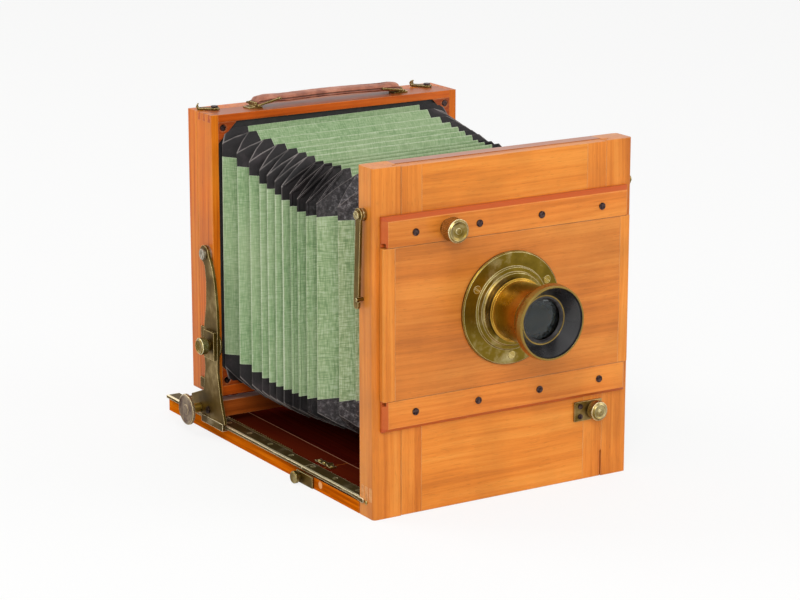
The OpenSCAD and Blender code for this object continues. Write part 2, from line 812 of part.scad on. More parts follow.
// Pivot screw with its washer, and the pin that the hook rests on
module hook_fixings() {
  color("#8f7a2c") placed() both() {
    rod_x(half_w, hook_in - 0.2, hook_y, hook_z, 4.2);
    rod_x(half_w - 8, hook_out + 0.3, hook_y, hook_z, 1.55);
    difference() {
      rod_x(hook_out + 0.3, hook_out + 1.8, hook_y, hook_z, 2.75);
      slot_cut(hook_out + 1.2, hook_out + 3, hook_y, hook_z, 4, 25);
    }
    rod_x(half_w - 5, hook_out + 0.8, hook_pin_y, hook_z - hook_reach, 1.25);
  }
}

// Flat arm that hangs from its pivot, with a notch in front for the pin
module hook_arm() {
  end_y = hook_y + 3.2;
  pin_z = hook_z - hook_reach;
  end_z = pin_z - 3.6;
  notch_r = 1.25 + slide_gap + 0.1;
  w = hook_w / 2;
  color("#8a6c1c") placed() difference() {
    union() {
      slab_x(hook_in, hook_out) polygon([[hook_y - w, hook_z], [hook_y + w, hook_z],
        [end_y + w, end_z], [end_y - w, end_z]]);
      rod_x(hook_in, hook_out, hook_y, hook_z, 4.4);
      rod_x(hook_in, hook_out, end_y, end_z, w + 0.05);
    }
    rod_x(hook_in - over, hook_out + over, hook_pin_y, pin_z, notch_r);
    box(hook_in - over, hook_out + over, hook_pin_y - 9, hook_pin_y, pin_z - notch_r + 0.05,
      pin_z + notch_r - 0.05);
    rod_x(hook_in - over, hook_out + over, hook_y, hook_z, 1.55 + play);
  }
}

module hook_left() {
  mirror([1, 0, 0]) hook_arm();
}

module hook_right() {
  hook_arm();
}

// Small turned knob on the side of the bed
module bed_lock_knob() {
  x0 = half_w + lock_plate_t + slide_gap;
  pin = tail_x + slide_gap - x0;
  r = bed_knob_r;
  color("#a08834") placed() turned_x(x0, lock_y, lock_z) polygon([[0, pin], [1.6, pin], [1.6, 0],
    [2.6, 0], [2.6, 1.2], [r - 0.6, 1.6], [r, 2.2], [r, 4.4], [r - 0.5, 5], [0, 5]]);
}

module bed_lock_knob_left() {
  mirror([1, 0, 0]) bed_lock_knob();
}

module bed_lock_knob_right() {
  bed_lock_knob();
}

// Carriage

// Bevelled cross board between the struts
module carriage_board() {
  z0 = shoe_top;
  b = 4;
  color("#b4621f") placed() difference() {
    box(-strut_in, strut_in, carriage_y, carriage_y + carriage_d, z0, carriage_top);
    translate([0, carriage_y, carriage_top - b]) rotate([45, 0, 0])
      translate([-strut_in - over, -20, 0]) cube([2 * strut_in + 2 * over, 20, 20]);
    both() rod_x(strut_in - 9, strut_in + over, strut_screw_y, strut_screw_z, 1.2);
  }
}

strut_screw_y = carriage_y + 5.4;
strut_screw_z = 19.4;

// Height, front edge and rear edge of a strut, from its foot to its pivot
strut_rows = [[shoe_top, 199.5, 250.3], [18.4, 200.8, 250.3], [25.5, 203.5, 250],
  [33, 205.8, 230.7], [50.5, 209.6, 227.6], [62, 209, 229], [81.8, 208.2, 228],
  [98, 209, 224.6], [115, 211.6, 224], [126, 215, 226], [pivot_z, pivot_y - 6.3, pivot_y + 6.3]];

// Direction of the clamp stud from the pivot, turned by an angle
function stud_at(a) = let (dy = clamp_y - pivot_y, dz = clamp_z - pivot_z)
  [pivot_y + dy * cos(a) - dz * sin(a), pivot_z + dy * sin(a) + dz * cos(a)];

// Brass strut with an arc slot for the clamp stud
module struts() {
  color("#7a5c14") placed() both() difference() {
    slab_x(strut_in, strut_out) difference() {
      union() {
        polygon(concat([for (p = strut_rows) [p[1], p[0]]],
          [for (i = [len(strut_rows) - 1 : -1 : 0]) [strut_rows[i][2], strut_rows[i][0]]]));
        translate([pivot_y, pivot_z]) circle(r = strut_top_r);
      }
      slot_r = stud_r + 0.35;
      turns = [for (i = [0 : 8]) lerp(-swing_forward, swing_back, i / 8)];
      for (a = turns) translate(stud_at(a)) circle(r = slot_r, $fn = 32);
      polygon(concat([for (a = turns) slot_edge(a, slot_r)],
        [for (i = [8 : -1 : 0]) slot_edge(turns[i], -slot_r)]));
    }
    rod_x(strut_in - over, strut_out + over, pivot_y, pivot_z, 2.2 + play);
    rod_x(strut_in - over, strut_out + over, shaft_y, shaft_z, shaft_r + play);
    rod_x(strut_in - over, strut_out + over, strut_screw_y, strut_screw_z, 1.3);
  }
}

// Point on the slot's edge, off the stud's arc by a distance
function slot_edge(a, off) = let (p = stud_at(a), d = p - [pivot_y, pivot_z])
  p + off * d / norm(d);

// Brass slide on the track plate, with a shoe that hooks round the plate's outer edge
module slides() {
  y0 = carriage_y - 4.6;
  y1 = shaft_y + 15;
  shoe_y0 = carriage_y - 17;
  shoe_y1 = shaft_y - 3;
  low = track_top + slide_gap;
  hook_low = bed_t + slide_gap;
  color("#6b5416") placed() both() {
    box(track_x + 0.6, strut_out, y0, y1, low, shoe_top);
    box(lip_out + slide_gap, shoe_out, shoe_y0, shoe_y1, hook_low, shoe_top);
    box(groove_x + 0.4, shoe_out, shoe_y0, shoe_y1, hook_low, lip_low - slide_gap);
  }
}

module strut_screws() {
  color("#5b4a18") placed() both() {
    difference() {
      rod_x(strut_out, strut_out + 1, strut_screw_y, strut_screw_z, 2.6);
      slot_cut(strut_out + 0.5, strut_out + 2, strut_screw_y, strut_screw_z, 4, 60);
    }
    rod_x(strut_in - 8, strut_out, strut_screw_y, strut_screw_z, 1.15);
  }
}

function turned(p, a) = [p[0] * cos(a) - p[1] * sin(a), p[0] * sin(a) + p[1] * cos(a)];
base_r = pitch_r * cos(20);
// Angle in degrees swept by the involute at a radius
function roll(r) = let (t = sqrt(pow(r / base_r, 2) - 1)) t * 180 / PI - atan(t);
half_tooth = 90 / pinion_teeth - tooth_play / pitch_r * 45 / PI + roll(pitch_r);
flank = [for (i = [0 : 4]) let (r = lerp(base_r + 0.01, pinion_out, i / 4))
  [r * cos(half_tooth - roll(r)), r * sin(half_tooth - roll(r))]];

// Shaft across the carriage with a pinion over each rack
module focus_shaft() {
  root_r = pitch_r - tooth_deep;
  step = 360 / pinion_teeth;
  teeth = [for (i = [0 : pinion_teeth - 1]) let (a = -90 + (i + 0.5) * step)
    each concat([turned([root_r * cos(half_tooth), -root_r * sin(half_tooth)], a)],
      [for (p = flank) turned([p[0], -p[1]], a)],
      [for (j = [4 : -1 : 0]) turned(flank[j], a)],
      [turned([root_r * cos(half_tooth), root_r * sin(half_tooth)], a)])];
  color("#b09a4a") placed() {
    rod_x(-focus_in, focus_in, shaft_y, shaft_z, shaft_r);
    both() translate([0, shaft_y, shaft_z]) slab_x(rack_x + 0.3, rack_x + rack_w - 0.3)
      polygon(teeth);
    both() rod_x(strut_out + slide_gap, focus_in, shaft_y, shaft_z, 3.6);
  }
}

focus_in = strut_out + 9;

module focus_knobs() {
  r = focus_knob_r;
  color("#8f7a2c") placed() both() {
    turned_x(focus_in, shaft_y, shaft_z) polygon([[0, 0], [r - 1.4, 0], [r - 0.5, 0.5],
      [r - 0.5, 2.6], [r - 1.2, 3.1], [r - 2.4, 2.5], [4, 2.2], [3.4, 2.9], [0, 2.9]]);
    translate([focus_in + 0.6, shaft_y, shaft_z]) rotate([0, 90, 0]) knurl(r, 1.9, 60);
  }
}

// Swing frame

// Slanted pins at a corner of the frame, as outlines in depth and height
module corner_pins(z_root, z_end) {
  for (i = [0 : 2]) let (y = frame_y + 3.6 + i * 7.2)
    polygon([[y - 1.1, z_end], [y + 1.1, z_end], [y + 2, z_root], [y - 2, z_root]]);
}

module all_pins(grow) {
  slab_x(half_w - frame_t - grow, half_w + grow) {
    corner_pins(frame_high - frame_t, frame_high + grow * 0.01);
    corner_pins(frame_low + frame_low_t, frame_low - grow * 0.01);
  }
}

module frame_sides() {
  color("#d2650a") placed() both() difference() {
    box(half_w - frame_t, half_w, frame_y, frame_back, frame_low, frame_high);
    all_pins(0.5);
    rod_x(half_w - 4, half_w + over, pivot_y, pivot_z, 1.8);
  }
}

module frame_rails() {
  x = half_w - frame_t;
  color("#c05c14") placed() {
    difference() {
      box(-x, x, frame_y, frame_back, frame_high - frame_t, frame_high);
      both() rod_z(frame_high - 4, frame_high + over, catch_x, catch_y, 1.3);
    }
    box(-x, x, frame_y, frame_back, frame_low, frame_low + frame_low_t);
    both() all_pins(0);
  }
}

gusset_x = half_w - frame_t;
screw_in = 4;
sunk = 0.8;

// Wooden triangles in the four inner corners of the frame, sunk for their screws
module frame_gussets() {
  color("#9a3c10") placed() both() difference() {
    slab_y(frame_y, frame_y + gusset_t) {
      polygon([[gusset_x, frame_high - frame_t], [gusset_x - gusset, frame_high - frame_t],
        [gusset_x, frame_high - frame_t - gusset]]);
      polygon([[gusset_x, frame_low + frame_low_t], [gusset_x - gusset, frame_low + frame_low_t],
        [gusset_x, frame_low + frame_low_t + gusset]]);
    }
    for (z = [frame_high - frame_t - screw_in, frame_low + frame_low_t + screw_in]) {
      rod_y(frame_y - over, frame_y + sunk, gusset_x - screw_in, z, 2.8);
      rod_y(frame_y, frame_y + gusset_t + over, gusset_x - screw_in, z, 1.25);
    }
  }
}

// Gusset screws and the two catch screws
module frame_screws() {
  color("#8a6c1c") placed() both() {
    for (z = [frame_high - frame_t - screw_in, frame_low + frame_low_t + screw_in]) {
      difference() {
        rod_y(frame_y + 0.1, frame_y + sunk, gusset_x - screw_in, z, 2.1);
        translate([gusset_x - screw_in, frame_y + 0.1, z]) rotate([0, 40, 0])
          cube([6, 0.7, 0.6], center = true);
      }
      rod_y(frame_y + sunk, frame_y + 6, gusset_x - screw_in, z, 1.2);
    }
    rod_z(frame_high - 3.5, frame_high + 2, catch_x, catch_y, 1.25);
    rod_z(frame_high + 2.1, frame_high + 3, catch_x, catch_y, 2.5);
    rod_z(frame_high + 1.9, frame_high + 2.2, catch_x, catch_y, 1.25);
  }
}

// Black wooden frame behind the gussets that carries the bellows
module bellows_frame() {
  y0 = frame_y + gusset_t + 0.3;
  y1 = y0 + 5;
  x = half_w - frame_t;
  low = frame_low + frame_low_t;
  high = frame_high - frame_t;
  w = 11;
  color("#221f20") placed() {
    both() difference() {
      box(x - w, x, y0, y1, low, high);
      for (z = [high - screw_in, low + screw_in])
        rod_y(y0 - over, y1 + over, gusset_x - screw_in, z, 1.25);
    }
    box(-x + w + joint_line, x - w - joint_line, y0, y1, low, low + w);
    box(-x + w + joint_line, x - w - joint_line, y0, y1, high - w, high);
  }
}

// Plate on the frame's side with a round nose and the clamp stud
module swing_plates() {
  color("#7a5c14") placed() both() {
    slab_x(half_w, half_w + plate_in_t) {
      translate([clamp_y, clamp_z]) circle(r = 9);
      translate([clamp_y, clamp_z - 9]) square([frame_back - clamp_y - 3, 18]);
    }
    rod_x(half_w + plate_in_t - 0.2, knob_x + 3.4, clamp_y, clamp_z, stud_r);
  }
}

module clamp_blocks() {
  color("#7a5c14") placed() both() difference() {
    box(clamp_x, clamp_x + block_t, clamp_y - 7.5, clamp_y + 7.5, clamp_z - 10.2,
      clamp_z + 10.2);
    rod_x(clamp_x - over, knob_x + over, clamp_y, clamp_z, stud_r + 0.02);
  }
}

module pivot_screws() {
  color("#b09a4a") placed() both() {
    rod_x(half_w, half_w + plate_in_t, pivot_y, pivot_z, 6);
    rod_x(half_w - 3.5, half_w, pivot_y, pivot_z, 1.75);
    rod_x(half_w + plate_in_t - 0.2, strut_out + 0.35, pivot_y, pivot_z, 2.2);
    difference() {
      rod_x(strut_out + slide_gap, strut_out + 1.9, pivot_y, pivot_z, 4);
      slot_cut(strut_out + 1.2, strut_out + 3, pivot_y, pivot_z, 6, 50);
    }
  }
}

module back_clips() {
  color("#5b4a18") placed() both()
    box(half_w, half_w + plate_in_t, frame_back - 8, frame_back - 0.6, frame_low + 3,
      frame_low + 10.5);
}

// Turned clamp knob, bored to turn on its stud
module clamp_knob() {
  r = clamp_knob_r;
  color("#a08834") placed() {
    turned_x(knob_x, clamp_y, clamp_z) polygon([[stud_r + play, 0], [r - 1.8, 0], [r - 1.8, 1.6],
      [r - 0.6, 2.4], [r - 0.6, 7.2], [r - 1.4, 8], [r - 2.4, 7.2], [0, 6.6], [0, 3.6],
      [stud_r + play, 3.6]]);
    translate([knob_x + 2.6, clamp_y, clamp_z]) rotate([0, 90, 0]) difference() {
      knurl(r, 4.4, 36);
      translate([0, 0, -over]) cylinder(h = 4.4 + 2 * over, r = r - 2);
    }
  }
}

module clamp_knob_left() {
  mirror([1, 0, 0]) clamp_knob();
}

module clamp_knob_right() {
  clamp_knob();
}

// Handle and catches

handle_y = frame_y + 13;

// Leather strap: a low bow with a hump at its left loop
module handle_strap() {
  mid = (handle_left + handle_right) / 2;
  half = (handle_right - handle_left) / 2;
  low = [for (i = [0 : 16]) let (t = i / 16, x = lerp(handle_left, handle_right, t))
    [x, frame_high + 2.2 + (handle_rise - 3.2) * sin(180 * t) + 1.4 * exp(-pow((x + 47) / 7, 2))]];
  top = [for (i = [16 : -1 : 0]) low[i] + [0, handle_t]];
  color("#b0715a") placed() difference() {
    slab_y(handle_y - handle_w / 2, handle_y + handle_w / 2) polygon(concat(low, top));
    for (x = [handle_left + loop_reach, handle_right - loop_reach])
      rod_y(handle_y - handle_w, handle_y + handle_w, x, strap_mid(x), loop_r + play);
  }
}

loop_reach = 16;
loop_r = 0.8;

// Height of the strap's middle line at a distance from the camera's middle
function strap_mid(x) = frame_high + 2.2 + handle_t / 2
  + (handle_rise - 3.2) * sin(180 * (x - handle_left) / (handle_right - handle_left))
  + 1.4 * exp(-pow((x + 47) / 7, 2));

// Slanting bar at one depth between two points of width and height
module slant(a, b, y) {
  half = 0.6 * [a[1] - b[1], b[0] - a[0]] / norm(b - a);
  slab_y(y - 0.7, y + 0.7) polygon([a + half, b + half, b - half, a - half]);
}

// Ears on the top board, each with a loop that slants up through the strap's end
module handle_lugs() {
  color("#8f7a2c") placed() for (x = [handle_left, handle_right]) {
    s = x < 0 ? -1 : 1;
    out_x = x + 1.3 * s;
    in_x = x - loop_reach * s;
    side = handle_w / 2 + 1.1;
    for (y = [handle_y - side, handle_y + side])
      slant([out_x, frame_high + 2.6], [in_x, strap_mid(in_x)], y);
    for (p = [[out_x, frame_high + 2.6], [in_x, strap_mid(in_x)]])
      rod_y(handle_y - side - 1, handle_y + side + 1, p[0], p[1], loop_r);
    slab_y(handle_y - 4.5, handle_y + 4.5) polygon([[x - 4 * s, frame_high],
      [x + 7 * s, frame_high], [x + 7 * s, frame_high + 1], [x + 2.3 * s, frame_high + 1.3],
      [x + 2.3 * s, frame_high + 4.4], [x + slide_gap * s, frame_high + 4.4],
      [x + slide_gap * s, frame_high + 1.3], [x - 4 * s, frame_high + 1]]);
  }
}

catch_x = half_w - 13;
catch_y = frame_back - 2.6;

// Flat turning catch with a finger curl at its end
module turning_catch(turn) {
  z0 = frame_high + slide_gap;
  color("#8f7a2c") placed() translate([catch_x, catch_y, 0]) rotate([0, 0, turn])
    difference() {
      union() {
        rod_z(z0, z0 + 1.3, 0, 0, 3.6);
        box(-3, 12, -2.6, 2.6, z0, z0 + 1.3);
        translate([10.7, 2.6, 0]) slab_y(-5.2, 0)
          polygon([[0, z0], [1.3, z0], [2.3, z0 + 2.6], [1.4, z0 + 4.2], [0.4, z0 + 4],
            [1, z0 + 2.6]]);
      }
      rod_z(z0 - over, z0 + 2 * over, 0, 0, 1.25 + play);
    }
}

module catch_left() {
  mirror([1, 0, 0]) turning_catch(32);
}

module catch_right() {
  turning_catch(128);
}

// Reversing back

// Four bars round the picture opening, a hairline apart
module back_frame() {
  low = picture_mid - picture_z;
  high = picture_mid + picture_z;
  color("#c86a1c") placed() {
    box(-half_w, half_w, back_y, back_end, frame_low, low);
    box(-half_w, half_w, back_y, back_end, high, frame_high);
    both() box(picture_x, half_w, back_y, back_end, low + joint_line, high - joint_line);
  }
}

// Four bars with a rebate for the ground glass
module screen_frame() {
  low = picture_mid - screen_z;
  high = picture_mid + screen_z;
  y1 = screen_y + screen_t;
  in_x = picture_x - 1;
  in_z = picture_z - 1;
  g = 3;
  color("#b4551a") placed() difference() {
    union() {
      box(-screen_x, screen_x, screen_y, y1, low, picture_mid - in_z);
      box(-screen_x, screen_x, screen_y, y1, picture_mid + in_z, high);
      both() box(in_x, screen_x, screen_y, y1, picture_mid - in_z + joint_line,
        picture_mid + in_z - joint_line);
    }
    box(-in_x - g, in_x + g, screen_y - over, screen_y + glass_t + 0.2, picture_mid - in_z - g,
      picture_mid + in_z + g);
    both() box(leaf_x, leaf_x + leaf_w, screen_hinge_y - 1, screen_hinge_y + 1, high - leaf_in,
      high + over);
  }
}

leaf_x = 46.3;
leaf_w = 7.4;
leaf_in = 6;

// Hinge knuckles of the screen frame, each with a tongue let into the upper bar
module screen_leaves() {
  y = screen_hinge_y;
  color("#8f7a2c") placed() both() difference() {
    union() {
      rod_x(leaf_x, leaf_x + leaf_w, y, screen_hinge_z, 2.2);
      box(leaf_x, leaf_x + leaf_w, y - 1, y + 1, picture_mid + screen_z - leaf_in,
        screen_hinge_z);
    }
    rod_x(leaf_x - over, leaf_x + leaf_w + over, y, screen_hinge_z, 1.1 + play);
  }
}

module ground_glass() {
  in_x = picture_x - 1;
  in_z = picture_z - 1;
  g = 2.8;
  color("#dfe6e2") placed() box(-in_x - g, in_x + g, screen_y + 0.1, screen_y + 0.1 + glass_t,
    picture_mid - in_z - g, picture_mid + in_z + g);
}

// Knuckle and pin of each screen hinge, on the back's upper bar
module screen_hinges() {
  z = screen_hinge_z;
  y = screen_hinge_y;
  color("#8f7a2c") placed() both() {
    rod_x(40, 60, y, z, 1.1);
    for (x = [40, 54]) {
      rod_x(x, x + 6, y, z, 2.2);
      box(x, x + 6, back_end, y, z - 1, z + 2.1);
      box(x, x + 6, back_end, back_end + 1.1, z, z + 12);
    }
  }
}

// Bellows

// Gap in front of each side ridge: wide at both ends and behind the second, close in the middle
function fold_gap(i) = 9.5 + 6 * exp(-pow(i / 1.5, 2)) + 13 * exp(-pow((i - 2.65) / 1.1, 2))
  + 0.034 * pow(max(0, i - 6), 3);
function gap_sum(i) = i <= 0 ? 0 : fold_gap(i - 1) + gap_sum(i - 1);
function fold_y(i) = lerp(bellows_front, last_fold, gap_sum(i) / gap_sum(pleats));
// Place along the bellows from 0 in front to 1 at the back
function along(y) = (y - bellows_front) / (bellows_back - bellows_front);
// Half width, top and bottom of the section over its ridges
function sec_x(t) = lerp(stile_x + 3, half_w - frame_t - 2.9, t);
function sec_top(t) = lerp(front_h - 25.4, frame_high - frame_t - 4.1, t) - 4 * top_sag * t * (1 - t);
function sec_low(t) = lerp(throat_low - 8, frame_low + frame_low_t + 1, t)
  - bellows_sag * sin(180 * pow(t, 0.8));
// Four corners of a ring, drawn in at the sides and at the top and bottom
function ring(y, side_in, top_in) = let (t = along(y), x = sec_x(t) - side_in,
    low = sec_low(t) + top_in, high = sec_top(t) - top_in)
  [[x, y, low], [x, y, high], [-x, y, high], [-x, y, low]];

// Pleated tube with a bore: side ridges alternate with ridges of the top and bottom
module bellows() {
  last = 2 * pleats + 1;
  depths = [for (k = [0 : last]) k == last ? bellows_back : k % 2 == 0 ? fold_y(k / 2)
    : (fold_y((k - 1) / 2) + fold_y((k + 1) / 2)) / 2];
  side_in = [for (k = [0 : last]) k == 0 || k == last ? pleat_depth / 2
    : k % 2 == 0 ? 0 : pleat_depth];
  walls = [for (inset = [0, 2 * cloth_t], k = [0 : last])
    each ring(depths[k], side_in[k] + inset, pleat_depth - side_in[k] + inset)];
  n = 4 * (last + 1);
  color("#8faa78") placed() polyhedron(points = walls, faces = concat(
    [for (i = [0 : last - 1], j = [0 : 3]) let (k = (j + 1) % 4)
      each [[4 * i + j, 4 * i + 4 + j, 4 * i + 4 + k], [4 * i + j, 4 * i + 4 + k, 4 * i + k]]],
    [for (i = [0 : last - 1], j = [0 : 3]) let (k = (j + 1) % 4)
      each [[n + 4 * i + j, n + 4 * i + 4 + k, n + 4 * i + 4 + j],
        [n + 4 * i + j, n + 4 * i + k, n + 4 * i + 4 + k]]],
    [for (j = [0 : 3]) let (k = (j + 1) % 4) each [[j, k, n + k], [j, n + k, n + j]]],
    [for (j = [0 : 3]) let (k = (j + 1) % 4, e = 4 * last)
      each [[e + j, n + e + k, e + k], [e + j, n + e + j, n + e + k]]]));
}

bed_rails();
tail_rails();
tail_end_rail();
bed_panel();
tail_panel();
tracks();
racks();
bed_screws();
bed_hinges();
bed_lock_plates();
joint_ends();
tripod_bush();
front_stiles();
front_inner_frame();
hook_fixings();
bellows();
bed_lock_knob_left();
bed_lock_knob_right();
hook_left();
hook_right();
rising_panel();
panel_battens();
strips();
front_screws();
rise_lock_plate();
rise_lock_knob();
shift_lock_knob();
lens_board();
lens_board_battens();
lens_flange();
flange_screws();
lens_barrel();
glass_ring();
lens_glass();
carriage_board();
struts();
slides();
strut_screws();
focus_shaft();
focus_knobs();
frame_sides();
frame_rails();
frame_gussets();
frame_screws();
bellows_frame();
swing_plates();
clamp_blocks();
pivot_screws();
back_clips();
clamp_knob_left();
clamp_knob_right();
handle_strap();
handle_lugs();
catch_left();
catch_right();
back_frame();
screen_frame();
ground_glass();
screen_hinges();
screen_leaves();
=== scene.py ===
import math

import bpy
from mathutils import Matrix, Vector


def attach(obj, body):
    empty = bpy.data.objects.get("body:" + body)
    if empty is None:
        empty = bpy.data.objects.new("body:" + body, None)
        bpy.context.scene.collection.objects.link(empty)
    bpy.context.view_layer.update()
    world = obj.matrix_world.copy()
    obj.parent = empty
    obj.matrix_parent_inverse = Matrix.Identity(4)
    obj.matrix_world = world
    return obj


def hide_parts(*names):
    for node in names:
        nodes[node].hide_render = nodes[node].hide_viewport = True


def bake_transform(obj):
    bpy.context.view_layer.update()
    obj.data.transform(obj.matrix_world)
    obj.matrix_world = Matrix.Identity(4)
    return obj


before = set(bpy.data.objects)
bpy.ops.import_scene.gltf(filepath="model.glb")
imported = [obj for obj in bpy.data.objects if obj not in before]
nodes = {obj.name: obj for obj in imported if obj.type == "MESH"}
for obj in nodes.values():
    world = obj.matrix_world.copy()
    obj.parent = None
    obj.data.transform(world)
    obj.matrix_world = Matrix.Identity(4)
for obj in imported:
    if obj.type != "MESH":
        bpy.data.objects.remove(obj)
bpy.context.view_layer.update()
print("frame loaded:", len(nodes), "nodes")

mm = 0.001
frontFace = -0.055   # the origin is the tripod bush, 55 mm behind the front face
lensHeight = 0.1322


def lerp(a, b, t):
    return a + (b - a) * t


def linear(hexCode):
    # sRGB hex to the linear values that the shaders use
    parts = [int(hexCode[i:i + 2], 16) / 255 for i in (1, 3, 5)]
    return tuple(c / 12.92 if c <= 0.04045 else ((c + 0.055) / 1.055) ** 2.4 for c in parts) + (1.0,)


def add(tree, kind, inputs=None, stops=(), **settings):
    # adds one node: an input is a value or another node's socket, stops fill a colour ramp
    made = tree.nodes.new(kind)
    for name, value in settings.items():
        setattr(made, name, value)
    for name, value in (inputs or {}).items():
        if isinstance(value, bpy.types.NodeSocket):
            tree.links.new(value, made.inputs[name])
        else:
            made.inputs[name].default_value = value
    for i, (place, tone) in enumerate(stops):
        spot = made.color_ramp.elements[i] if i < 2 else made.color_ramp.elements.new(place)
        spot.position = place
        spot.color = tone if isinstance(tone, tuple) else (tone, tone, tone, 1)
    return made


def startMaterial(name):
    material = bpy.data.materials.new(name)
    material.use_nodes = True
    tree = material.node_tree
    tree.nodes.clear()
    shader = add(tree, "ShaderNodeBsdfPrincipled")
    add(tree, "ShaderNodeOutputMaterial", {"Surface": shader.outputs["BSDF"]})
    return material, tree, shader


def grainScale(grainAxis, along, across):
    # noise scale that stretches a pattern along the grain
    size = [1 / across] * 3
    size[grainAxis] = 1 / along
    return size


def edgeMask(tree, radius):
    # 1 along the arrises and 0 on the flats, and the rounded normal that goes with it
    rounded = add(tree, "ShaderNodeBevel", {"Radius": radius}, samples=6).outputs["Normal"]
    flat = add(tree, "ShaderNodeNewGeometry").outputs["True Normal"]
    same = add(tree, "ShaderNodeVectorMath", {0: rounded, 1: flat}, operation="DOT_PRODUCT").outputs["Value"]
    mask = add(tree, "ShaderNodeValToRGB", {"Fac": same}, [(0.90, 1.0), (0.992, 0.0)]).outputs["Color"]
    return mask, rounded


def tint(material, tone, share, facing=None, bands=()):
    # tones the faces that look one way, or lie in bands of width, depth or height, in metres
    tree = material.node_tree
    shader = next(n for n in tree.nodes if n.type == "BSDF_PRINCIPLED")
    mask = share
    if facing:
        normal = add(tree, "ShaderNodeTexCoord").outputs["Normal"]
        turned = add(tree, "ShaderNodeVectorMath", {0: normal, 1: facing}, operation="DOT_PRODUCT")
        limits = {"Value": turned.outputs["Value"], "From Min": 0.55, "From Max": 0.7, "To Max": share}
        mask = add(tree, "ShaderNodeMapRange", limits).outputs["Result"]
    for axis, low, high in bands:
        place = add(tree, "ShaderNodeTexCoord").outputs["Object"]
        spot = add(tree, "ShaderNodeSeparateXYZ", {0: place}).outputs[axis]
        band = {0: spot, 1: (low + high) / 2, 2: (high - low) / 2}
        within = add(tree, "ShaderNodeMath", band, operation="COMPARE").outputs["Value"]
        mask = add(tree, "ShaderNodeMath", {0: within, 1: mask}, operation="MULTIPLY").outputs["Value"]
    colour = shader.inputs["Base Color"].links[0].from_socket
    mixed = add(tree, "ShaderNodeMix", {"Factor": mask, "A": colour, "B": linear(tone)}, data_type="RGBA")
    tree.links.new(mixed.outputs["Result"], shader.inputs["Base Color"])


# Mahogany, planed, stained and French polished long ago: warm orange where it has faded, with fine
# dark pores, quiet stripes along the grain, darker clouds, and pale arrises that are partly rubbed wear and
# partly painted highlight
woodSizes = {
    "stripeAlong": 120 * mm, "stripeAcross": 2.6 * mm, "bandAlong": 260 * mm, "bandAcross": 17 * mm,
    "poreAlong": 7 * mm, "poreAcross": 0.4 * mm,   # true pores are half this, drawn coarser to show
    "wander": 111.1 * mm, "wanderBy": 6 * mm, "cloud": 42 * mm, "rubbedPatch": 14.29 * mm,
    "arris": 0.8 * mm, "poreDepth": 0.2 * mm,
}


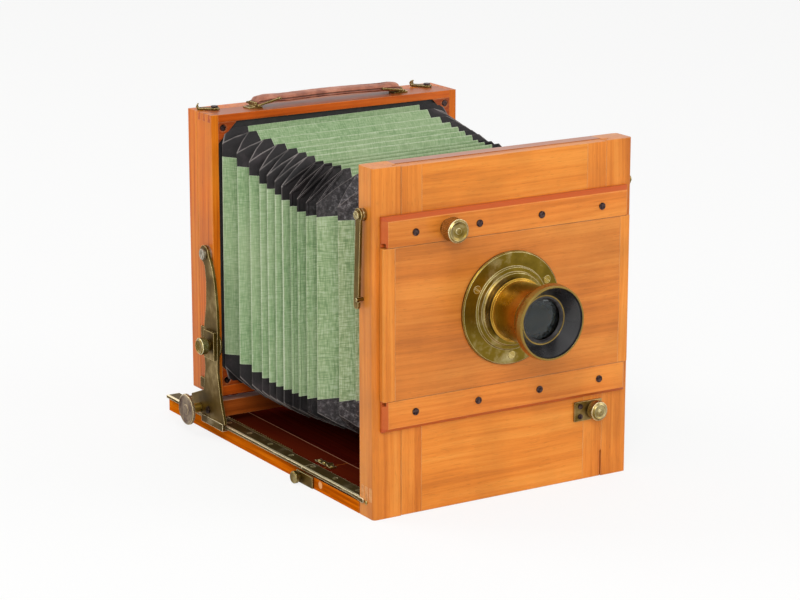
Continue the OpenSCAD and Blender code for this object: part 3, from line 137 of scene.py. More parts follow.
def polishedMahogany(name, light, mid, dark, grainAxis, rubbed="#F0B478", wear=0.5, shift=0.0,
                     roughness=0.36, coat=0.1, gloss=0.2):
    material, tree, shader = startMaterial(name)
    s = woodSizes
    place = add(tree, "ShaderNodeTexCoord").outputs["Object"]
    move = (shift, shift * 2, shift * 3)   # so that no two boards show the same figure
    # the grain wanders a little
    wander = add(tree, "ShaderNodeTexNoise", {"Vector": place, "Scale": 1 / s["wander"], "Detail": 1.0})
    bend = {0: wander.outputs["Color"], 1: [s["wanderBy"]] * 3, 2: place}
    bent = add(tree, "ShaderNodeVectorMath", bend, operation="MULTIPLY_ADD").outputs["Vector"]
    figure = {}
    for part, detail, rough in (("stripe", 5.0, 0.6), ("band", 3.0, 0.5), ("pore", 2.0, 0.5)):
        stretch = grainScale(grainAxis, s[part + "Along"], s[part + "Across"])
        space = add(tree, "ShaderNodeMapping", {"Vector": bent, "Scale": stretch, "Location": move})
        noise = {"Vector": space.outputs["Vector"], "Scale": 1.0, "Detail": detail, "Roughness": rough}
        figure[part] = add(tree, "ShaderNodeTexNoise", noise).outputs["Fac"]
    both = {"Factor": 0.5, "A": figure["stripe"], "B": figure["band"]}
    both = add(tree, "ShaderNodeMix", both, data_type="FLOAT").outputs["Result"]
    tones = [(0.36, linear(dark)), (0.49, linear(mid)), (0.63, linear(light))]
    colour = add(tree, "ShaderNodeValToRGB", {"Fac": both}, tones).outputs["Color"]
    cloud = {"Vector": place, "Scale": 1 / s["cloud"], "Detail": 4.0}
    cloud = add(tree, "ShaderNodeTexNoise", cloud).outputs["Fac"]
    cloudTone = add(tree, "ShaderNodeValToRGB", {"Fac": cloud}, [(0.32, 0.86), (0.6, 1.04)]).outputs["Color"]
    pore = figure["pore"]
    poreTone = add(tree, "ShaderNodeValToRGB", {"Fac": pore}, [(0.27, 0.72), (0.4, 1.0)]).outputs["Color"]
    for share, tone in ((1.0, cloudTone), (0.8, poreTone)):
        layer = {"Factor": share, "A": colour, "B": tone}
        colour = add(tree, "ShaderNodeMix", layer, data_type="RGBA", blend_type="MULTIPLY").outputs["Result"]
    # arrises pale in patches: partly rubbed wear, partly painted highlight
    mask, rounded = edgeMask(tree, s["arris"])
    patch = {"Vector": place, "Scale": 1 / s["rubbedPatch"], "Detail": 4.0}
    patch = add(tree, "ShaderNodeTexNoise", patch).outputs["Fac"]
    patchTone = add(tree, "ShaderNodeValToRGB", {"Fac": patch}, [(0.38, 0.2), (0.6, wear)]).outputs["Color"]
    worn = add(tree, "ShaderNodeMath", {0: mask, 1: patchTone}, operation="MULTIPLY").outputs["Value"]
    colour = add(tree, "ShaderNodeMix", {"Factor": worn, "A": colour, "B": linear(rubbed)}, data_type="RGBA")
    tree.links.new(colour.outputs["Result"], shader.inputs["Base Color"])
    sheen = {"Value": cloud, "From Min": 0.3, "From Max": 0.7}
    sheen.update({"To Min": roughness - 0.05, "To Max": roughness + 0.08})
    tree.links.new(add(tree, "ShaderNodeMapRange", sheen).outputs["Result"], shader.inputs["Roughness"])
    relief = {"Height": pore, "Normal": rounded, "Strength": 0.1, "Distance": s["poreDepth"]}
    tree.links.new(add(tree, "ShaderNodeBump", relief).outputs["Normal"], shader.inputs["Normal"])
    shader.inputs["Coat Weight"].default_value = coat
    shader.inputs["Coat Roughness"].default_value = 0.2
    shader.inputs["Specular IOR Level"].default_value = gloss
    return material


# Sheet and turned brass under old lacquer: yellow and bright where hands rub it, brown and olive
# in soft blotches where the lacquer has gone, with a painted highlight along the edges
brassSizes = {"blotch": 20.83 * mm, "speck": 2.381 * mm, "arris": 0.45 * mm, "speckDepth": 0.1 * mm}


def oldBrass(name, bright, dull, dark, share, roughness, arris=brassSizes["arris"], coat=0.0):
    material, tree, shader = startMaterial(name)
    s = brassSizes
    place = add(tree, "ShaderNodeTexCoord").outputs["Object"]
    blotch = {"Vector": place, "Scale": 1 / s["blotch"], "Detail": 8.0, "Roughness": 0.6}
    blotch = add(tree, "ShaderNodeTexNoise", blotch).outputs["Fac"]
    tones = [(0.3, linear(dark)), (0.34 + 0.3 * share, linear(dull)), (1.0, linear(bright))]
    colour = add(tree, "ShaderNodeValToRGB", {"Fac": blotch}, tones).outputs["Color"]
    # the arrises take the bright tone: painted highlight
    mask, rounded = edgeMask(tree, arris)
    colour = add(tree, "ShaderNodeMix", {"Factor": mask, "A": colour, "B": linear(bright)}, data_type="RGBA")
    tree.links.new(colour.outputs["Result"], shader.inputs["Base Color"])
    shader.inputs["Metallic"].default_value = 1.0
    dulled = {"Value": blotch, "From Min": 0.3, "From Max": 0.7}
    dulled.update({"To Min": roughness + 0.14, "To Max": roughness})
    tree.links.new(add(tree, "ShaderNodeMapRange", dulled).outputs["Result"], shader.inputs["Roughness"])
    speck = {"Vector": place, "Scale": 1 / s["speck"], "Detail": 3.0}
    speck = add(tree, "ShaderNodeTexNoise", speck).outputs["Fac"]
    relief = {"Height": speck, "Normal": rounded, "Strength": 0.1, "Distance": s["speckDepth"]}
    tree.links.new(add(tree, "ShaderNodeBump", relief).outputs["Normal"], shader.inputs["Normal"])
    if coat:
        shader.inputs["Coat Weight"].default_value = coat
        shader.inputs["Coat Roughness"].default_value = 0.12
    return material


xAxis, yAxis, zAxis = 0, 1, 2   # the way the grain runs
wood = {
    "frontAcross": polishedMahogany("front mahogany, grain across", "#E0903A", "#D67E2A", "#C06C22", xAxis),
    "frontUpright": polishedMahogany("front mahogany, grain upright", "#E0903C", "#D67E2C", "#C06A20",
                                     zAxis, shift=1.7),
    "strip": polishedMahogany("strip mahogany, grain across", "#DE8A38", "#D2782A", "#BC6620",
                              xAxis, shift=3.3),
    "boardAcross": polishedMahogany("lens board mahogany", "#D48438", "#C8742C", "#B46626", xAxis, shift=4.1),
    # the frame sides' deeper, redder tones than the front's are partly painted shade of side faces
    "sideUpright": polishedMahogany("frame side mahogany, grain upright", "#E0801E", "#D2680C", "#A44806",
                                    zAxis, shift=2.9, rubbed="#F0A450", coat=0.04),
    "frameRail": polishedMahogany("frame rail mahogany, grain across", "#D4681C", "#C25410", "#9C400A",
                                  xAxis, shift=6.3, rubbed="#EC9C58", coat=0.04),
    "railAcross": polishedMahogany("carriage mahogany, grain across", "#B45E22", "#A04C16", "#7C360C",
                                   xAxis, shift=8.3),
    "bedAlong": polishedMahogany("bed rail mahogany, grain along", "#E08014", "#D06808", "#A44A04",
                                 yAxis, shift=5.2, rubbed="#F0A858", wear=0.6, coat=0.0, gloss=0.0),
    "floor": polishedMahogany("bed floor mahogany, deep red", "#6E1E0C", "#5A140A", "#3E0C06",
                              yAxis, shift=7.7, rubbed="#8A4430", roughness=0.7, coat=0.0, gloss=0.0),
    "gusset": polishedMahogany("gusset mahogany", "#B04E1A", "#963E12", "#702C0A", xAxis, shift=9.1),
    "endGrain": polishedMahogany("end grain of the joints", "#E8A468", "#DC9450", "#B87038", xAxis, shift=2.2),
}
brass = {
    "bright": oldBrass("lacquered brass, rubbed", "#EBDDA4", "#A88E40", "#6E5A22", 0.45, 0.26),
    "plate": oldBrass("brass plate gone brown", "#E4CC90", "#6A5322", "#4A3A16", 0.6, 0.4),
    "track": oldBrass("brass track gone olive", "#FFF0C8", "#66522A", "#52421E", 0.75, 0.45, arris=0.7 * mm),
    "flange": oldBrass("turned flange brass gone olive", "#F6E8B4", "#7A6420", "#5A4A14", 0.55, 0.24),
    "knob": oldBrass("turned knob brass, handled", "#F4E8B8", "#7C662A", "#443614", 0.5, 0.26),
    "focus": oldBrass("focus knob brass gone purple-brown", "#F0DCB0", "#5E4A42", "#3E302A", 0.5, 0.34),
}

up, down, toRight, toLeft = (0, 0, 1), (0, 0, -1), (1, 0, 0), (-1, 0, 0)
# darker red on the bevels and the left ends of the strips: painted shade where they turn from the light
for low, high in ((0.2009, 0.2040), (0.0590, 0.0626)):
    tint(wood["strip"], "#B44A20", 0.8, bands=[("Z", low, high)])
tint(wood["strip"], "#B44A20", 0.7, bands=[("X", -0.0980, -0.0941)])
# painted shade: dark red on the undersides of the frame rails and the inner faces of the frame sides
tint(wood["frameRail"], "#8A2E08", 0.85, facing=down)
# painted reflection: paler, greyer tops of the frame rails and the carriage, as if lit from above
tint(wood["frameRail"], "#8E5636", 0.6, facing=up)
tint(wood["railAcross"], "#B88A78", 0.6, facing=up)
# the inner faces of the frame sides get the painted shade
for facing in (toRight, toLeft):
    tint(wood["sideUpright"], "#8A2E08", 0.8, facing=facing, bands=[("X", -0.101, 0.101)])
# the bed's top keeps its dark red stain, with a pale seam beside each floor panel
tint(wood["bedAlong"], "#4E120A", 0.96, facing=up)
for side in (-1, 1):
    low, high = sorted((side * 0.0670, side * 0.0661))
    tint(wood["bedAlong"], "#D89A78", 0.6, facing=up, bands=[("X", low, high)])
    # outer edge of the track, polished by the slides, with a painted highlight along its top
    low, high = sorted((side * 0.1036, side * 0.1014))
    tint(brass["track"], "#FFF0CC", 0.95, facing=up, bands=[("X", low, high)])


# Grit, dust and specks of the small plain surfaces; the real ones are far finer, drawn coarse to show
gritSizes = {"steel": 1.667 * mm, "dust": 1.111 * mm, "screen": 0.6667 * mm, "enamel": 3.333 * mm}


# Steel screws: filed heads, blued near black or polished and gone grey, with a fine grit
def screwSteel(name, light, dark):
    material, tree, shader = startMaterial(name)
    place = add(tree, "ShaderNodeTexCoord").outputs["Object"]
    grit = {"Vector": place, "Scale": 1 / gritSizes["steel"], "Detail": 4.0}
    grit = add(tree, "ShaderNodeTexNoise", grit).outputs["Fac"]
    tones = [(0.35, linear(dark)), (0.75, linear(light))]
    colour = add(tree, "ShaderNodeValToRGB", {"Fac": grit}, tones).outputs["Color"]
    tree.links.new(colour, shader.inputs["Base Color"])
    shader.inputs["Metallic"].default_value = 1.0
    shader.inputs["Roughness"].default_value = 0.42
    return material


# Crown glass, ground and polished: clear and dark, with a faint blue-grey body and a veil of dust
def opticalGlass(name):
    material, tree, shader = startMaterial(name)
    shader.inputs["Base Color"].default_value = linear("#A8BABC")
    shader.inputs["Transmission Weight"].default_value = 1.0
    shader.inputs["IOR"].default_value = 1.46
    place = add(tree, "ShaderNodeTexCoord").outputs["Object"]
    dust = {"Vector": place, "Scale": 1 / gritSizes["dust"], "Detail": 2.0}
    dust = add(tree, "ShaderNodeTexNoise", dust).outputs["Fac"]
    veil = {"Value": dust, "From Min": 0.5, "From Max": 0.8, "To Min": 0.01, "To Max": 0.05}
    tree.links.new(add(tree, "ShaderNodeMapRange", veil).outputs["Result"], shader.inputs["Roughness"])
    return material


# Focusing glass, finely ground on the inner side: milky and soft
def groundScreen(name):
    material, tree, shader = startMaterial(name)
    place = add(tree, "ShaderNodeTexCoord").outputs["Object"]
    grit = {"Vector": place, "Scale": 1 / gritSizes["screen"], "Detail": 2.0}
    grit = add(tree, "ShaderNodeTexNoise", grit).outputs["Fac"]
    tones = [(0.3, linear("#B9C4BF")), (0.7, linear("#D5DEDA"))]
    colour = add(tree, "ShaderNodeValToRGB", {"Fac": grit}, tones).outputs["Color"]
    tree.links.new(colour, shader.inputs["Base Color"])
    shader.inputs["Roughness"].default_value = 0.65
    shader.inputs["Transmission Weight"].default_value = 0.35
    return material


# Optical black, brushed or stoved on: nearly matt, with a few rubbed grey specks
def blackEnamel(name, tone, grey, roughness):
    material, tree, shader = startMaterial(name)
    place = add(tree, "ShaderNodeTexCoord").outputs["Object"]
    speck = {"Vector": place, "Scale": 1 / gritSizes["enamel"], "Detail": 5.0}
    speck = add(tree, "ShaderNodeTexNoise", speck).outputs["Fac"]
    tones = [(0.45, linear(tone)), (0.8, linear(grey))]
    colour = add(tree, "ShaderNodeValToRGB", {"Fac": speck}, tones).outputs["Color"]
    tree.links.new(colour, shader.inputs["Base Color"])
    shader.inputs["Roughness"].default_value = roughness
    return material


# Lens tube: turned brass under gold lacquer, with a dark collar against the flange, and a flared
# hood that is olive brass outside and glossy black inside
tubeSizes = {"hood": 42 * mm, "collar": 13.6 * mm, "collarHalf": 0.9 * mm}


def lensTube(name):
    material = oldBrass(name, "#F0C458", "#987018", "#70500E", 0.4, 0.2, coat=0.3)
    s = tubeSizes
    tree = material.node_tree
    shader = next(n for n in tree.nodes if n.type == "BSDF_PRINCIPLED")
    place = add(tree, "ShaderNodeTexCoord").outputs["Object"]
    spot = add(tree, "ShaderNodeSeparateXYZ", {0: place}).outputs
    height = add(tree, "ShaderNodeMath", {0: spot["Z"], 1: lensHeight}, operation="SUBTRACT").outputs["Value"]
    fromAxis = add(tree, "ShaderNodeCombineXYZ", {"X": spot["X"], "Z": height}).outputs["Vector"]
    hood = {0: spot["Y"], 1: frontFace - s["hood"]}
    hood = add(tree, "ShaderNodeMath", hood, operation="LESS_THAN").outputs["Value"]
    collar = {0: spot["Y"], 1: frontFace - s["collar"], 2: s["collarHalf"]}
    collar = add(tree, "ShaderNodeMath", collar, operation="COMPARE").outputs["Value"]
    # the inner faces look towards the axis
    normal = add(tree, "ShaderNodeTexCoord").outputs["Normal"]
    outward = add(tree, "ShaderNodeVectorMath", {0: normal, 1: fromAxis}, operation="DOT_PRODUCT")
    inside = {0: outward.outputs["Value"], 1: -3 * mm}
    inside = add(tree, "ShaderNodeMath", inside, operation="LESS_THAN").outputs["Value"]
    black = add(tree, "ShaderNodeMath", {0: inside, 1: hood}, operation="MULTIPLY").outputs["Value"]
    colour = shader.inputs["Base Color"].links[0].from_socket
    for mask, tone in ((hood, "#8E7434"), (collar, "#3A2A20"), (black, "#141214")):
        layer = {"Factor": mask, "A": colour, "B": linear(tone)}
        colour = add(tree, "ShaderNodeMix", layer, data_type="RGBA").outputs["Result"]
    tree.links.new(colour, shader.inputs["Base Color"])
    metal = add(tree, "ShaderNodeMapRange", {"Value": black, "To Min": 1.0, "To Max": 0.0}).outputs["Result"]
    tree.links.new(metal, shader.inputs["Metallic"])
    return material


bluedSteel = screwSteel("blued steel screw", "#6A5654", "#261C1C")
glassRing = blackEnamel("black lacquered glass ring", "#1A1718", "#4A4444", 0.35)
blackWood = blackEnamel("blackened wood", "#141213", "#282424", 0.6)

finishes = [
    (wood["bedAlong"], ["bed_rails", "tail_rails", "tail_end_rail"]),
    (wood["floor"], ["bed_panel", "tail_panel"]),
    (wood["frontUpright"], ["front_stiles", "panel_battens", "lens_board_battens"]),
    (wood["frontAcross"], ["rising_panel"]),
    (wood["boardAcross"], ["lens_board"]),
    (wood["strip"], ["strips"]),
    (wood["railAcross"], ["front_inner_frame", "carriage_board"]),
    (wood["sideUpright"], ["frame_sides", "back_frame"]),
    (wood["frameRail"], ["frame_rails", "screen_frame"]),
    (wood["gusset"], ["frame_gussets"]),
    (wood["endGrain"], ["joint_ends"]),
    (brass["track"], ["tracks", "slides"]),
    (brass["bright"], ["bed_screws", "bed_hinges", "tripod_bush", "flange_screws", "focus_shaft"]),
    (brass["plate"], ["racks", "bed_lock_plates", "hook_left", "hook_right", "rise_lock_plate", "struts",
                      "swing_plates", "clamp_blocks", "back_clips", "handle_lugs", "catch_left", "catch_right",
                      "screen_hinges", "screen_leaves"]),
    (brass["knob"], ["hook_fixings", "bed_lock_knob_left", "bed_lock_knob_right", "rise_lock_knob",
                     "shift_lock_knob", "clamp_knob_left", "clamp_knob_right"]),
    (brass["focus"], ["focus_knobs"]),
    (brass["flange"], ["lens_flange"]),
    (lensTube("lens tube and hood"), ["lens_barrel"]),
    (opticalGlass("crown glass lens"), ["lens_glass"]),
    (groundScreen("ground glass"), ["ground_glass"]),
    (glassRing, ["glass_ring"]),
    (blackWood, ["bellows_frame"]),
    (bluedSteel, ["front_screws", "strut_screws", "frame_screws"]),
    (screwSteel("polished steel screw", "#D8D0BE", "#8C8270"), ["pivot_screws"]),
]
for material, names in finishes:
    for name in names:
        slots = nodes[name].material_slots
        for spot in slots:
            spot.material = material
        if not slots:
            nodes[name].data.materials.append(material)
print("materials made:", len(bpy.data.materials))


# Bellows: side ridges alternate with ridges of the top and underside, so the corners run in a
# zigzag; the pleats are wide at both ends and close in the middle, and green cloth meets black
# leather near the corners. Sizes are in mm, with depths counted from the front face
bellowsSizes = {
    "front": 18.4, "back": 220.0,
    "ridges": [18.4, 34.2, 49.9, 70.3, 96.8, 109.8, 121.0, 129.7, 139.6, 148.2, 157.9, 167.8, 181.0, 197.6,
               217.6],
    "halfWide": (84.0, 93.6), "low": (54.0, 38.0), "sag": 17.0,
    "slantDepth": 15.0,   # a pleat's usual depth, for the cloth's own measure
    "sideLeather": 9.4, "topLeather": 6.0, "rightIn": 17.0, "roll": 0.012,
    "worn": 0.7, "bulge": 0.5, "binding": 0.8, "clothColumns": 12, "cloth": 0.9, "joinFold": 8,
}
# Depth, height of the top ridges, and how far the top, the left side and the underside are drawn in
bellowsProfile = [
    (18.4, 213.6, 16.0, 17.0, 18.0), (70.0, 213.8, 17.0, 22.0, 18.0), (97.0, 213.9, 19.6, 25.0, 17.0),
    (110.0, 213.9, 21.4, 25.0, 15.5), (121.0, 213.8, 20.4, 25.0, 15.0), (135.0, 213.8, 16.8, 23.5, 15.0),
    (153.0, 216.2, 14.0, 21.0, 15.0), (168.0, 218.4, 13.4, 19.0, 15.0), (181.0, 219.8, 11.3, 16.5, 15.0),
    (198.0, 221.4, 9.2, 15.0, 15.0), (220.0, 225.4, 9.0, 15.0, 15.0),
]


def bellowsAt(y):
    for first, second in zip(bellowsProfile, bellowsProfile[1:]):
        if y <= second[0]:
            break
    t = (y - first[0]) / (second[0] - first[0])
    return [lerp(a, b, t) for a, b in zip(first[1:], second[1:])]


def bellowsFolds():
    # depth of each fold, and the share by which its sides and its top are drawn in
    s = bellowsSizes
    found = [(s["front"], 0.45, 0.7)]
    for first, second in zip(s["ridges"], s["ridges"][1:]):
        found.append(((first + second) / 2, 1.0, 0.0))
        found.append((second, 0.0, 1.0))
    found.append((s["back"], 0.4, 0.0))
    return found


folds = bellowsFolds()


def bellowsRows(first, last):
    # rows close to each fold give it a worn, narrow edge, and the middle row bulges a little
    s = bellowsSizes
    rows = []
    for k in range(first, last):
        (y0, side0, top0), (y1, side1, top1) = folds[k], folds[k + 1]
        slant = math.hypot(y1 - y0, s["slantDepth"])
        edge = min(0.3, s["worn"] / slant)
        for share in (0, edge, 0.5, 1 - edge):
            bulge = s["bulge"] if share == 0.5 else 0.0
            drawnIn = (lerp(side0, side1, share), lerp(top0, top1, share))
            rows.append((k, share, lerp(y0, y1, share)) + drawnIn + (bulge, slant * share))
    rows.append((last, 0) + tuple(folds[last]) + (0.0, 0.0))
    return rows


def bellowsRing(y, sideShare, topShare, bulge):
    # points round one row: (side, place along it, x, z, zone); zone 0 is a corner, 1 leather, 2 cloth
    s = bellowsSizes
    t = (y - s["front"]) / (s["back"] - s["front"])
    wide = lerp(*s["halfWide"], t)
    top, topIn, leftIn, lowIn = bellowsAt(y)
    low = lerp(*s["low"], t) - s["sag"] * math.sin(math.pi * t ** 0.8)
    left, right = wide - leftIn * sideShare + bulge, wide - s["rightIn"] * sideShare + bulge
    high, deep = top - topIn * topShare + bulge, low + lowIn * topShare - bulge
    clothHigh, clothLow = top - topIn - s["sideLeather"], low + lowIn + s["sideLeather"]
    clothLeft, clothRight = wide - leftIn - s["topLeather"], wide - s["rightIn"] - s["topLeather"]
    runs = [(deep, clothLow, clothHigh, high), (right, clothRight, -clothLeft, -left),
            (high, clothHigh, clothLow, deep), (-left, -clothLeft, clothRight, right)]
    points = []
    for side, (start, stepA, stepB, end) in enumerate(runs):
        way = 1 if end > start else -1
        lap = s["binding"] * way
        run = [(start, 0), (start + way, 1), (lerp(start, stepA, 0.4), 1), (stepA - lap, 1), (stepA, 1)]
        for i in range(s["clothColumns"] + 1):
            run.append((lerp(stepA + lap, stepB - lap, i / s["clothColumns"]), 2))
        run += [(stepB, 2), (stepB + lap, 1), (lerp(stepB, end, 0.6), 1), (end - way, 1)]
        for along, zone in run:
            x, z = [(right, along), (along, high), (-left, along), (along, deep)][side]
            points.append((side, along, x, z, zone))
    return points


def ripple(k, c):
    # small unevenness of the folds in mm, none at the two fixed ends
    if k in (0, len(folds) - 1):
        return 0.0
    return 0.3 * math.sin(0.7 * k + 0.23 * c) + 0.25 * math.sin(1.9 * k - 0.11 * c)


def makeBellows(name, first, last, materials):
    s = bellowsSizes
    rows = bellowsRows(first, last)
    columns = len(bellowsRing(rows[0][2], 0, 0, 0))
    bpy.ops.object.select_all(action="DESELECT")
    bpy.ops.mesh.primitive_grid_add(x_subdivisions=columns, y_subdivisions=len(rows) - 1, size=1)
    piece = bpy.context.object
    piece.name = name
    mesh = piece.data
    layer = mesh.uv_layers.active or mesh.uv_layers.new(name="UVMap")
    foldEdge = mesh.attributes.new("foldEdge", "FLOAT", "POINT")
    rim = mesh.attributes.new("rim", "FLOAT", "POINT")
    seam = mesh.attributes.new("seam", "FLOAT", "POINT")
    wide = columns + 1
    perSide = columns // 4
    clothStart, clothEnd = 4, s["clothColumns"] + 6   # columns of each side where the cloth's cut edges lie
    alongs, slants = [], []
    run = 0.0
    for r, (k, share, y, sideShare, topShare, bulge, slant) in enumerate(rows):
        ring = bellowsRing(y, sideShare, topShare, bulge)
        ring.append(ring[0])
        for c, (side, along, x, z, zone) in enumerate(ring):
            at = r * wide + c
            column = c % columns
            wave = lerp(ripple(k, column), ripple(k + 1, column), share) if share else ripple(k, column)
            mesh.vertices[at].co = (x * mm, (y + wave) * mm + frontFace, (z + s["roll"] * x) * mm)
            # ridges of a side are the even folds, those of the top and underside the odd ones
            ridge = share == 0 and (k % 2 == 0) == (side % 2 == 0)
            foldEdge.data[at].value = 1.0 if ridge else 0.0
            rim.data[at].value = 1.0 if zone == 0 else (0.6 if ridge and zone == 1 else 0.0)
            seam.data[at].value = 1.0 if c % perSide in (clothStart, clothEnd) else 0.0
        alongs.append([point[1] for point in ring])
        if share == 0 and r:
            run += previous
        if k + 1 < len(folds):
            previous = math.hypot(folds[k + 1][0] - folds[k][0], s["slantDepth"])
        slants.append(run + slant)
    for face in mesh.polygons:
        zone = min(v % wide for v in face.vertices) % perSide
        face.material_index = 0 if clothStart <= zone < clothEnd else 1
        for loop in face.loop_indices:
            r, c = divmod(mesh.loops[loop].vertex_index, wide)
            layer.data[loop].uv = (alongs[r][c] * mm, slants[r] * mm)
    for material in materials:
        mesh.materials.append(material)
    # the grid's first and last columns meet along one corner
    bpy.ops.object.mode_set(mode="EDIT")
    bpy.ops.mesh.select_all(action="SELECT")
    bpy.ops.mesh.remove_doubles(threshold=0.01 * mm)
    bpy.ops.mesh.normals_make_consistent(inside=False)
    bpy.ops.object.mode_set(mode="OBJECT")
    solid = piece.modifiers.new("cloth", "SOLIDIFY")
    solid.thickness = s["cloth"] * mm
    solid.offset = -1
    bpy.ops.object.modifier_apply(modifier="cloth")
    bpy.ops.object.shade_smooth_by_angle(angle=math.radians(30))
    return piece


# Book cloth: dyed cotton, woven, sized and glued over the lining; fine threads, faded and dusty,
# pale and bare along folds and cut edges. Its threads are 0.4 mm apart, drawn at 0.9 mm to show
clothSizes = {
    "thread": 0.9 * mm, "slubAlong": 6 * mm, "slubAcross": 8 * mm, "fade": 62.5 * mm, "relief": 0.3 * mm,
    "paleUntil": -0.01, "darkerFrom": 0.07,   # paler in the front third, darker green towards the rear
}


def bookCloth(name):
    material, tree, shader = startMaterial(name)
    s = clothSizes
    flat = add(tree, "ShaderNodeUVMap").outputs["UV"]
    threads = []
    for scale in ((1 / s["thread"], 1 / s["slubAlong"], 1), (1 / s["slubAcross"], 1 / s["thread"], 1)):
        space = add(tree, "ShaderNodeMapping", {"Vector": flat, "Scale": scale}).outputs["Vector"]
        noise = {"Vector": space, "Scale": 1.0, "Detail": 2.0}
        threads.append(add(tree, "ShaderNodeTexNoise", noise).outputs["Fac"])
    weave = add(tree, "ShaderNodeMath", {0: threads[0], 1: threads[1]}, operation="MULTIPLY").outputs["Value"]
    tones = [(0.14, linear("#768C62")), (0.25, linear("#A4B48A")), (0.38, linear("#CAD4B4"))]
    colour = add(tree, "ShaderNodeValToRGB", {"Fac": weave}, tones).outputs["Color"]
    place = add(tree, "ShaderNodeTexCoord").outputs["Object"]
    depth = add(tree, "ShaderNodeSeparateXYZ", {0: place}).outputs["Y"]
    # darker green towards the rear, paler in front
    darkerRear = {"Value": depth, "From Min": s["paleUntil"], "From Max": s["darkerFrom"], "To Max": 0.6}
    darkerRear = add(tree, "ShaderNodeMapRange", darkerRear).outputs["Result"]
    fade = {"Vector": place, "Scale": 1 / s["fade"], "Detail": 5.0}
    fade = add(tree, "ShaderNodeTexNoise", fade).outputs["Fac"]
    paler = {"Value": fade, "From Min": 0.4, "From Max": 0.7, "To Max": 0.4}
    paler = add(tree, "ShaderNodeMapRange", paler).outputs["Result"]
    # folds and cut edges, bare in patches
    fold = add(tree, "ShaderNodeAttribute", attribute_name="foldEdge").outputs["Fac"]
    seam = add(tree, "ShaderNodeAttribute", attribute_name="seam").outputs["Fac"]
    line = add(tree, "ShaderNodeMath", {0: fold, 1: seam}, operation="MAXIMUM").outputs["Value"]
    bare = {"Value": line, "From Min": 0.45, "From Max": 1.0, "To Max": 0.6}
    bare = add(tree, "ShaderNodeMapRange", bare).outputs["Result"]
    patchy = {"Value": threads[0], "From Min": 0.3, "From Max": 0.6, "To Min": 0.5, "To Max": 1.0}
    patchy = add(tree, "ShaderNodeMapRange", patchy).outputs["Result"]
    bare = add(tree, "ShaderNodeMath", {0: bare, 1: patchy}, operation="MULTIPLY").outputs["Value"]
    for mask, tone in ((darkerRear, "#76966A"), (paler, "#B0BC98"), (bare, "#D6DCC4")):
        colour = add(tree, "ShaderNodeMix", {"Factor": mask, "A": colour, "B": linear(tone)}, data_type="RGBA")
        colour = colour.outputs["Result"]
    tree.links.new(colour, shader.inputs["Base Color"])
    shader.inputs["Roughness"].default_value = 0.85
    shader.inputs["Specular IOR Level"].default_value = 0.2
    relief = {"Height": weave, "Strength": 0.3, "Distance": s["relief"]}
    tree.links.new(add(tree, "ShaderNodeBump", relief).outputs["Normal"], shader.inputs["Normal"])
    return material


# Black skiver on the corners: thin sheepskin, split, dyed and glued over the folds; fine grained and
# nearly black, dry and crumbly grey in front, rubbed pale along the corner's zigzag
leatherSizes = {
    "grain": 1.923 * mm, "crumb": 2.632 * mm,   # the true grain is about half this, drawn coarser to show
    "patch": 16.67 * mm, "relief": 0.3 * mm, "darkFrom": 0.06, "dryTo": 0.005,
}


def blackLeather(name):
    material, tree, shader = startMaterial(name)
    s = leatherSizes
    place = add(tree, "ShaderNodeTexCoord").outputs["Object"]
    patch = {"Vector": place, "Scale": 1 / s["patch"], "Detail": 6.0}
    patch = add(tree, "ShaderNodeTexNoise", patch).outputs["Fac"]
    tones = [(0.3, linear("#0E0C0D")), (0.55, linear("#1C1819")), (0.8, linear("#40383B"))]
    colour = add(tree, "ShaderNodeValToRGB", {"Fac": patch}, tones).outputs["Color"]
    depth = add(tree, "ShaderNodeSeparateXYZ", {0: place}).outputs["Y"]
    dry = {"Value": depth, "From Min": s["darkFrom"], "From Max": s["dryTo"], "To Max": 0.85}
    dry = add(tree, "ShaderNodeMapRange", dry).outputs["Result"]
    crumb = {"Vector": place, "Scale": 1 / s["crumb"], "Detail": 5.0, "Roughness": 0.7}
    crumb = add(tree, "ShaderNodeTexNoise", crumb).outputs["Fac"]
    tones = [(0.36, linear("#2E2A2C")), (0.52, linear("#504C4E")), (0.68, linear("#A09A9C"))]
    dusty = add(tree, "ShaderNodeValToRGB", {"Fac": crumb}, tones).outputs["Color"]
    rim = add(tree, "ShaderNodeAttribute", attribute_name="rim").outputs["Fac"]
    bare = {"Value": rim, "From Min": 0.45, "From Max": 1.0, "To Max": 0.8}
    bare = add(tree, "ShaderNodeMapRange", bare).outputs["Result"]
    patchy = {"Value": patch, "From Min": 0.35, "From Max": 0.6, "To Min": 0.25, "To Max": 1.0}
    patchy = add(tree, "ShaderNodeMapRange", patchy).outputs["Result"]
    bare = add(tree, "ShaderNodeMath", {0: bare, 1: patchy}, operation="MULTIPLY").outputs["Value"]
    for mask, tone in ((dry, dusty), (bare, linear("#9C9490"))):
        colour = add(tree, "ShaderNodeMix", {"Factor": mask, "A": colour, "B": tone}, data_type="RGBA")
        colour = colour.outputs["Result"]
    tree.links.new(colour, shader.inputs["Base Color"])
    shader.inputs["Roughness"].default_value = 0.58
    shader.inputs["Specular IOR Level"].default_value = 0.3
    grain = add(tree, "ShaderNodeTexVoronoi", {"Vector": place, "Scale": 1 / s["grain"]}).outputs["Distance"]
    relief = {"Height": grain, "Strength": 0.35, "Distance": s["relief"]}
    tree.links.new(add(tree, "ShaderNodeBump", relief).outputs["Normal"], shader.inputs["Normal"])
    return material


bellowsFinish = [bookCloth("green book cloth"), blackLeather("black skiver leather")]
joinFold = bellowsSizes["joinFold"] * 2   # two folds, a valley and a ridge, to each pleat
frontBellows = makeBellows("bellowsFront", 0, joinFold, bellowsFinish)
rearBellows = makeBellows("bellowsRear", joinFold, len(folds) - 1, bellowsFinish)
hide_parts("bellows")
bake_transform(frontBellows)
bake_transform(rearBellows)
print("bellows made")


